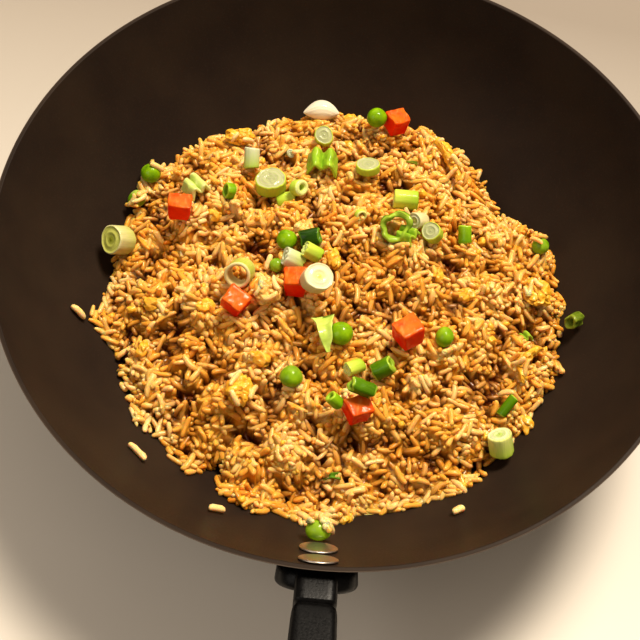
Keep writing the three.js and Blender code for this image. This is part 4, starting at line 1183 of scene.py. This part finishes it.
# A block with rounded edges: each point of a cube is pulled to a smaller block, then out by the radius.
def roundedBlock(size, corner, steps):
    line = np.linspace(-1, 1, steps + 1)
    a, b = np.meshgrid(line, line, indexing="ij")
    i, j = np.meshgrid(np.arange(steps), np.arange(steps), indexing="ij")
    start = (i * (steps + 1) + j).ravel()
    patch = np.stack((start, start + steps + 1, start + steps + 2, start + 1), -1)
    patches, quads = [], []
    for axis in range(3):
        for sign in (-1, 1):
            columns = [None] * 3
            columns[axis] = np.full_like(a, sign)
            columns[(axis + 1) % 3], columns[(axis + 2) % 3] = a, b
            quads.append((patch if sign > 0 else patch[:, ::-1]) + len(patches) * (steps + 1) ** 2)
            patches.append(np.stack(columns, -1).reshape(-1, 3))
    cube = np.concatenate(patches)
    keys = np.round(cube * 1000).astype(int)
    first, back = np.unique(keys, axis=0, return_index=True, return_inverse=True)[1:]
    cube, quads = cube[first], back.reshape(-1)[np.concatenate(quads)]
    half = np.array(size) / 2
    inner = np.clip(cube * half, corner - half, half - corner)
    return inner + corner * unit(cube * half - inner + 1e-9), [quads], cube


# A carrot die: a rounded block, leaning and narrowing a little, with uneven faces.
def makeCarrot(node, carrot, seed):
    points, faces, cube = roundedBlock(carrot["size"], 0.8, 16)
    points[:, 0] *= 1 + 0.05 * cube[:, 1] + 0.07 * cube[:, 2]
    points[:, 1] *= 1 + 0.06 * cube[:, 2]
    points += 0.22 * shake(cube, 1.7, seed) + 0.07 * shake(cube, 0.5, seed + 3)
    points = points @ turned(*carrot["turn"]) + middleOf(node)
    # upper marks the top face in the die's own axes, which takes the paler colour of painted light
    upper = np.clip((cube[:, 2] - 0.8) / 0.2, 0, 1)
    makePiece(node, "carrot", points, faces, {"upper": upper})


# A piece of scrambled egg: a lump with deep folds between its lobes and small ones between its crumbs.
# Its outline and its folds come from waves over a ball, and the third value says how deep in a fold a point
# lies, for the painted shade there.
def eggLump(size, bend, seed, rows=52):
    half = np.array(size) / 2
    ball, faces = ballRings(rows, int(1.5 * rows))
    spot = ball * half
    fold = np.exp(-(waves(spot, 5.5, seed) / 0.2) ** 2)
    crumb = np.exp(-(waves(spot, 2.2, seed + 1) / 0.22) ** 2)
    swell = 0.95 + 0.16 * waves(spot, 7, seed + 2) - 0.22 * fold - 0.07 * crumb
    points = spot * swell[:, None] + 0.3 * shake(spot, 2.6, seed + 3)
    points[:, 1] += bend * (0.5 - (points[:, 0] / half[0]) ** 2)
    return points, faces, np.clip(0.8 * fold + 0.3 * crumb, 0, 1)


def makeEgg(node, egg, seed):
    points, faces, foldShade = eggLump(egg["size"], egg["bend"], seed)
    points = points @ turned(*egg["turn"]) + middleOf(node)
    makePiece(node, "egg", points, faces, {"foldShade": foldShade}, finish=egg["finish"])


# The smaller pieces of egg as one mesh: each is a flat lump that rests on the grains.
def makeEggBits():
    parts, foldShades = [], []
    for seed, (x, y, long, wide, turn) in enumerate(eggBits, 700):
        points, faces, foldShade = eggLump((long, wide, 4.5), 0, seed, 26)
        parts.append(points @ turned(0, 0, turn) + (x, y, crownAt(x, y) + 0.1))
        foldShades.append(foldShade)
    groups = repeatedFaces(faces, len(points), len(eggBits))
    values = {"foldShade": np.concatenate(foldShades)}
    makePiece("rice_heap", "egg", np.concatenate(parts), groups, values, name="eggBits")


# an oval's radius at angles round it, with a share of each of its waves
def ovalAt(angle, random, *waveShares):
    return 1 + sum(share * np.cos(k * angle + random.uniform(0, 6)) for k, share in waveShares)


# values round and along a grid of points, for its UV map
def mapOf(around, along):
    return np.stack((around, along), -1)


# a cut length of stem: both cut faces and the side as rings; layer is the share of the radius
def makeLog(piece, seed):
    random = np.random.default_rng(seed)
    sides, edge, radiusOut, half = 56, 0.35, piece["across"] / 2, piece["long"] / 2
    cut = np.array((0.12, 0.25, 0.38, 0.5, 0.6, 0.7, 0.79, 0.87, 0.94)) * (radiusOut - edge)
    turn = np.linspace(0, math.pi / 2, 4)
    radius = np.concatenate((cut, radiusOut - edge * (1 - np.sin(turn)), np.full(7, radiusOut),
                             radiusOut - edge * (1 - np.cos(turn)), cut[::-1]))
    level = np.concatenate((np.full(9, -half), edge * (1 - np.cos(turn)) - half,
                            np.linspace(-1, 1, 9)[1:-1] * (half - edge), half - edge * (1 - np.sin(turn)),
                            np.full(9, half)))
    layer = np.minimum(radius / radiusOut, 1)
    layer[9:-9] = 1.0
    angle = roundAngles(sides)
    wobble = ovalAt(angle, random, (2, 0.05), (3, 0.025)) + 0.012 * np.cos(9 * angle)
    x, y = np.outer(radius, wobble * np.cos(angle)), np.outer(radius, wobble * np.sin(angle))
    slant = random.uniform(-0.1, 0.1, 2)
    atEnd = np.clip((np.abs(level) - half + 2 * edge) / (2 * edge), 0, 1)[:, None]
    puff = 0.2 * np.cos(layer * 4 * math.pi)[:, None] * (np.abs(level) > half - 0.01)[:, None]
    spot = np.stack((x, y, np.broadcast_to(level[:, None], x.shape)), -1)
    torn = piece["frayed"] * 0.8 * np.minimum(waves(spot, 1.7, seed), 0.2) * atEnd
    lean = 1 + slant[0] * x / radiusOut + slant[1] * y / radiusOut
    z = level[:, None] * lean + (puff + torn) * np.sign(level)[:, None]
    points = withPoles((0, 0, z[0].mean()), np.stack((x, y, z), -1), (0, 0, z[-1].mean()))
    along = withEnds(0, np.repeat(level / (2 * half) + 0.5, sides), 1)
    around = withEnds(0, np.tile(np.abs(np.linspace(-1, 1, sides, endpoint=False)), len(layer)), 0)
    values = {"layer": withEnds(0, np.repeat(layer, sides), 0), "along": along}
    return points, poledFaces(len(layer), sides), values, mapOf(around, along)


# a hollow length: its section is a thick wall with round ends, carried round an oval
def makeRing(piece, seed):
    random = np.random.default_rng(seed)
    sides, outer, wall, half = 56, piece["across"] / 2, piece["wall"], piece["long"] / 2
    end, turn = wall / 2, np.linspace(0, math.pi, 6)[1:-1]
    straight = np.linspace(-1, 1, 8) * (half - end)
    radius = np.concatenate((np.full(8, outer), outer - end + end * np.cos(turn), np.full(8, outer - wall),
                             outer - end - end * np.cos(turn)))
    level = np.concatenate((straight, half - end + end * np.sin(turn), straight[::-1],
                            end - half - end * np.sin(turn)))
    layer = np.clip((radius - outer + wall) / wall, 0, 1)
    angle = roundAngles(sides)
    frayed = piece["frayed"]
    wobble = ovalAt(angle, random, (2, 0.06 + 0.04 * frayed), (3, 0.02 + 0.05 * frayed), (5, 0.04 * frayed))
    x, y = np.outer(radius, wobble * np.cos(angle)), np.outer(radius, wobble * np.sin(angle))
    slant = random.uniform(-0.1, 0.1)
    z = level[:, None] * (1 + slant * x / outer + 0.3 * frayed * waves(np.stack((x, y), -1), 4.5, seed))
    points = np.stack((x, y, z), -1)
    points += 0.25 * frayed * shake(points, 3.0, seed)
    along = np.repeat(level / (2 * half) + 0.5, sides)
    around = np.tile(np.abs(np.linspace(-1, 1, sides, endpoint=False)), len(radius))
    values = {"layer": np.repeat(layer, sides), "along": along}
    return points.reshape(-1, 3), [bandFaces(len(radius), sides, True)], values, mapOf(around, along)


# the path of a strip, t from 0 to 1 along it: two humps side by side for a fold, one shallow cup for a leaf
def bandPath(kind, t, width):
    if kind == "fold":
        return np.stack((0.9 * width * (t - 0.5),
                         width * (0.16 * np.cos(4 * math.pi * (t - 0.25)) - 0.25 * (2 * t - 1) ** 2)), -1)
    return np.stack((width * (t - 0.5), 0.22 * width * np.sin(math.pi * t) ** 2), -1)


# a strip of even thickness along a path: a rounded section carried along it
def makeBand(piece, seed):
    steps, sides, wall = 56, 40, piece["wall"]
    t = np.linspace(0, 1, steps)
    path = bandPath(piece["kind"], t, piece["across"])
    way = unit(np.gradient(path, axis=0))
    normal = np.stack((way[:, 1], -way[:, 0]), -1)
    outX, outY = roundedOutline(wall, piece["long"], wall * 0.45, sides)
    shrink = np.sqrt(np.clip(1 - (2 * np.abs(t - 0.5)) ** 14, 0.02, 1))[:, None]
    isLeaf = piece["kind"] == "leaf"
    narrow = 0.62 + 0.76 * (t[:, None] - 0.5) if isLeaf else 1.0
    x = path[:, :1] + normal[:, :1] * outX * shrink
    y = path[:, 1:] + normal[:, 1:] * outX * shrink
    z = outY * narrow * (1 + 0.07 * np.sin(9 * t + seed)[:, None])
    if isLeaf:
        y += 1.6 * (2 * outY / piece["long"]) ** 2 * narrow
    grid = np.stack((x, y, z), -1)
    grid += 0.22 * shake(grid, 3.5, seed)
    points = withPoles(grid[0].mean(0), grid, grid[-1].mean(0))
    layer = withEnds(0.5, 0.5 + 0.5 * np.tile(np.clip(outX / wall + 0.5, 0, 1), steps), 0.5)
    around = withEnds(0, np.repeat(t, sides), 1)
    along = around if isLeaf else withEnds(0.5, np.tile(outY / piece["long"] + 0.5, steps), 0.5)
    return points, poledFaces(steps, sides), {"layer": layer, "along": along}, mapOf(around, along)


# makes a piece of onion whose middle, as its box gives it, lies at a place
def makeOnion(node, piece, place, seed, name=None):
    build = {"log": makeLog, "ring": makeRing}.get(piece["kind"], makeBand)
    points, faces, values, uv = build(piece, seed)
    points = points @ attitude(*piece["axis"])
    points += place - (points.min(0) + points.max(0)) / 2
    makePiece(node, "spring_onion", points, faces, values, uv, name, piece["finish"])


# flecks of onion sunk between the grains: at gives x, y and how far the middle stands over the grains' tops
onionFlecks = asTable(("at", *onionKeys), {
    "onionFleck0": ((25, 12.5, 2.5), "fold", (-30, 20), 8, 7.5, 1.4, 0, "bright"),
    "onionFleck1": ((-24.5, 31.5, 0.5), "log", (10, 5), 6.5, 7, 0, 0, "light"),
    "onionFleck2": ((-24.7, 58, 0), "log", (-80, 50), 3.6, 4, 0, 0, "white"),
    "onionFleck3": ((6, 22, 0.8), "ring", (-60, 25), 4.6, 2.5, 1.0, 0, "light"),
    "onionFleck4": ((75, -16, -0.8), "fold", (-60, 30), 6, 4, 1.0, 0, "dark"),
    "onionFleck5": ((25.3, 57.2, 0.3), "leaf", (-90, 8), 6, 2, 0.8, 0, "moss"),
    "onionFleck6": ((3.2, -81.8, -0.2), "leaf", (-80, 10), 6.5, 3, 0.9, 0, "deep"),
})


# The bulb's slice: a lens with pointed ends that curve to one side.
def makeBulbSlice():
    ball, faces = ballRings(36, 56)
    taper = 1 - 0.6 * np.abs(ball[:, 0]) ** 2.5
    points = ball * np.array(bulb["size"]) / 2 * np.stack((np.ones(len(ball)), taper, taper), -1)
    points[:, 1] -= 1.6 * ball[:, 0] ** 2 - 0.6
    points *= 1 + 0.03 * waves(ball, 1.2, 71)[:, None]
    points = points @ turned(*bulb["turn"]) + middleOf(bulb["node"])
    values = {"layer": np.clip(np.abs(ball[:, 1]) * 0.9, 0, 1), "along": ball[:, 2] * 0.5 + 0.5}
    uv = np.stack((np.abs(ball[:, 1]), ball[:, 0] * 0.5 + 0.5), -1)
    makePiece(bulb["node"], "onion_bulb", points, faces, values, uv)


# how many grains lie on a topping, and the middle and spread of the azimuths they lie at
covers = {
    "egg_01": (2, -90, 60), "egg_02": (4, 0, 180), "egg_03": (3, 180, 90), "egg_04": (2, 180, 60),
    "egg_05": (3, 0, 180), "egg_06": (5, 0, 180), "pea_01": (2, 60, 60), "pea_02": (4, -60, 100),
    "pea_04": (2, 0, 180), "pea_09": (2, 90, 90), "pea_10": (7, 90, 80), "spring_onion_26": (1, 90, 60),
}


# Grains stuck to the upper side of the toppings: each lies along the surface at a random height.
def makeCoverGrains():
    random = np.random.default_rng(91)
    middles, ways = [], []
    for node, (count, azimuth, spread) in covers.items():
        low, high = nodeBox(node)
        around = np.radians(azimuth + spread * random.uniform(-1, 1, count))
        rise = np.radians(random.uniform(15, 60, count))
        normal = np.stack((np.cos(rise) * np.cos(around), np.cos(rise) * np.sin(around), np.sin(rise)), -1)
        middles.append((low + high) / 2 + normal * ((high - low) / 2 + 0.5))
        ways.append(unit(np.cross(normal, random.normal(size=(count, 3)))))
    middle, way = np.concatenate(middles), np.concatenate(ways)
    count = len(middle)
    length, width = random.uniform(5, 8, count), random.uniform(2.0, 2.5, count)
    points, groups, each = grainMesh(middle, way, length, width, 92)
    # grains on the toppings get half the painted shade and sauce that the gaps give a point there
    values = {"tone": np.repeat(random.uniform(0, 0.4, count), each), "sunk": 0.5 * sauceAndShadeAt(points)}
    makePiece("rice_heap", "rice", points, groups, values, name="coverGrains")


# azimuth, length and width of the grains that lie clear of the heap, which are paler than the rest
strayTone = -0.35
strayGrains = {
    "stray_grain_01": (170, 7.5, 2.7), "stray_grain_02": (-42, 9.2, 2.8), "stray_grain_03": (28, 6.4, 2.9),
    "stray_grain_04": (35, 4.8, 3.3),
}


def makeStrayGrain(node, azimuth, length, width, seed):
    place = middleOf(node)
    radius = np.hypot(*place[:2])
    slope = float(wallSlope(radius))
    normal = np.array((*(-math.sin(slope) * place[:2] / radius), math.cos(slope)))
    way = np.array((math.cos(math.radians(azimuth)), math.sin(math.radians(azimuth)), 0.0))
    way = unit(way - normal * (way @ normal))
    points, groups, each = grainMesh(place[None], way[None], np.array((length,)), np.array((width,)), seed)
    values = {"tone": np.full(each, strayTone), "sunk": np.zeros(each)}
    makePiece(node, "rice", points, groups, values)


for maker, pieces, seed in ((makePea, peas, 100), (makeCarrot, carrots, 200), (makeEgg, eggs, 300)):
    for index, (node, piece) in enumerate(pieces.items()):
        maker(node, piece, seed + index)
makeEggBits()
for seed, (number, piece) in enumerate(springOnions.items(), 400):
    makeOnion("spring_onion_" + number, piece, middleOf("spring_onion_" + number), seed)
for seed, (name, piece) in enumerate(onionFlecks.items(), 600):
    x, y, stands = piece["at"]
    makeOnion("rice_heap", piece, np.array((x, y, crownAt(x, y) + stands)), seed, name)
makeBulbSlice()
makeCoverGrains()
for seed, (node, grain) in enumerate(strayGrains.items(), 500):
    makeStrayGrain(node, *grain, seed)
print("toppings made")


# ---- floor and light

# A plain worktop with painted light: paler towards the front, darker towards the back.
def makeFloor():
    finish, shader, place = newFinish("worktopPaintedLight", {"Roughness": 0.6})
    far, near = studio["floor"]
    # painted light: the colour goes from dark at the back to pale at the front
    settings = {"operation": "DOT_PRODUCT", 1: (-0.15, -1, 0)}
    paintedLightRamp = addNode(shader.id_data, "VectorMath", settings, {0: place}).outputs["Value"]
    dress(shader, stained(far, paintedLightRamp, -0.2, 0.12, near))
    reach = studio["floorReach"]
    points = np.array(((-reach, -reach, 0), (reach, -reach, 0), (reach, reach, 0), (-reach, reach, 0)), float)
    makeMesh("floor", points, [np.array(((0, 1, 2, 3),))], finish)


makeFloor()
for name, light in studio["lights"].items():
    softLight(name, *light)
world = bpy.data.worlds.new("air")
bpy.context.scene.world = world
world.use_nodes = True
air = world.node_tree.nodes["Background"].inputs
air["Color"].default_value, air["Strength"].default_value = hexColour(studio["air"]), studio["airStrength"]
bpy.context.scene.view_settings.view_transform = "Standard"
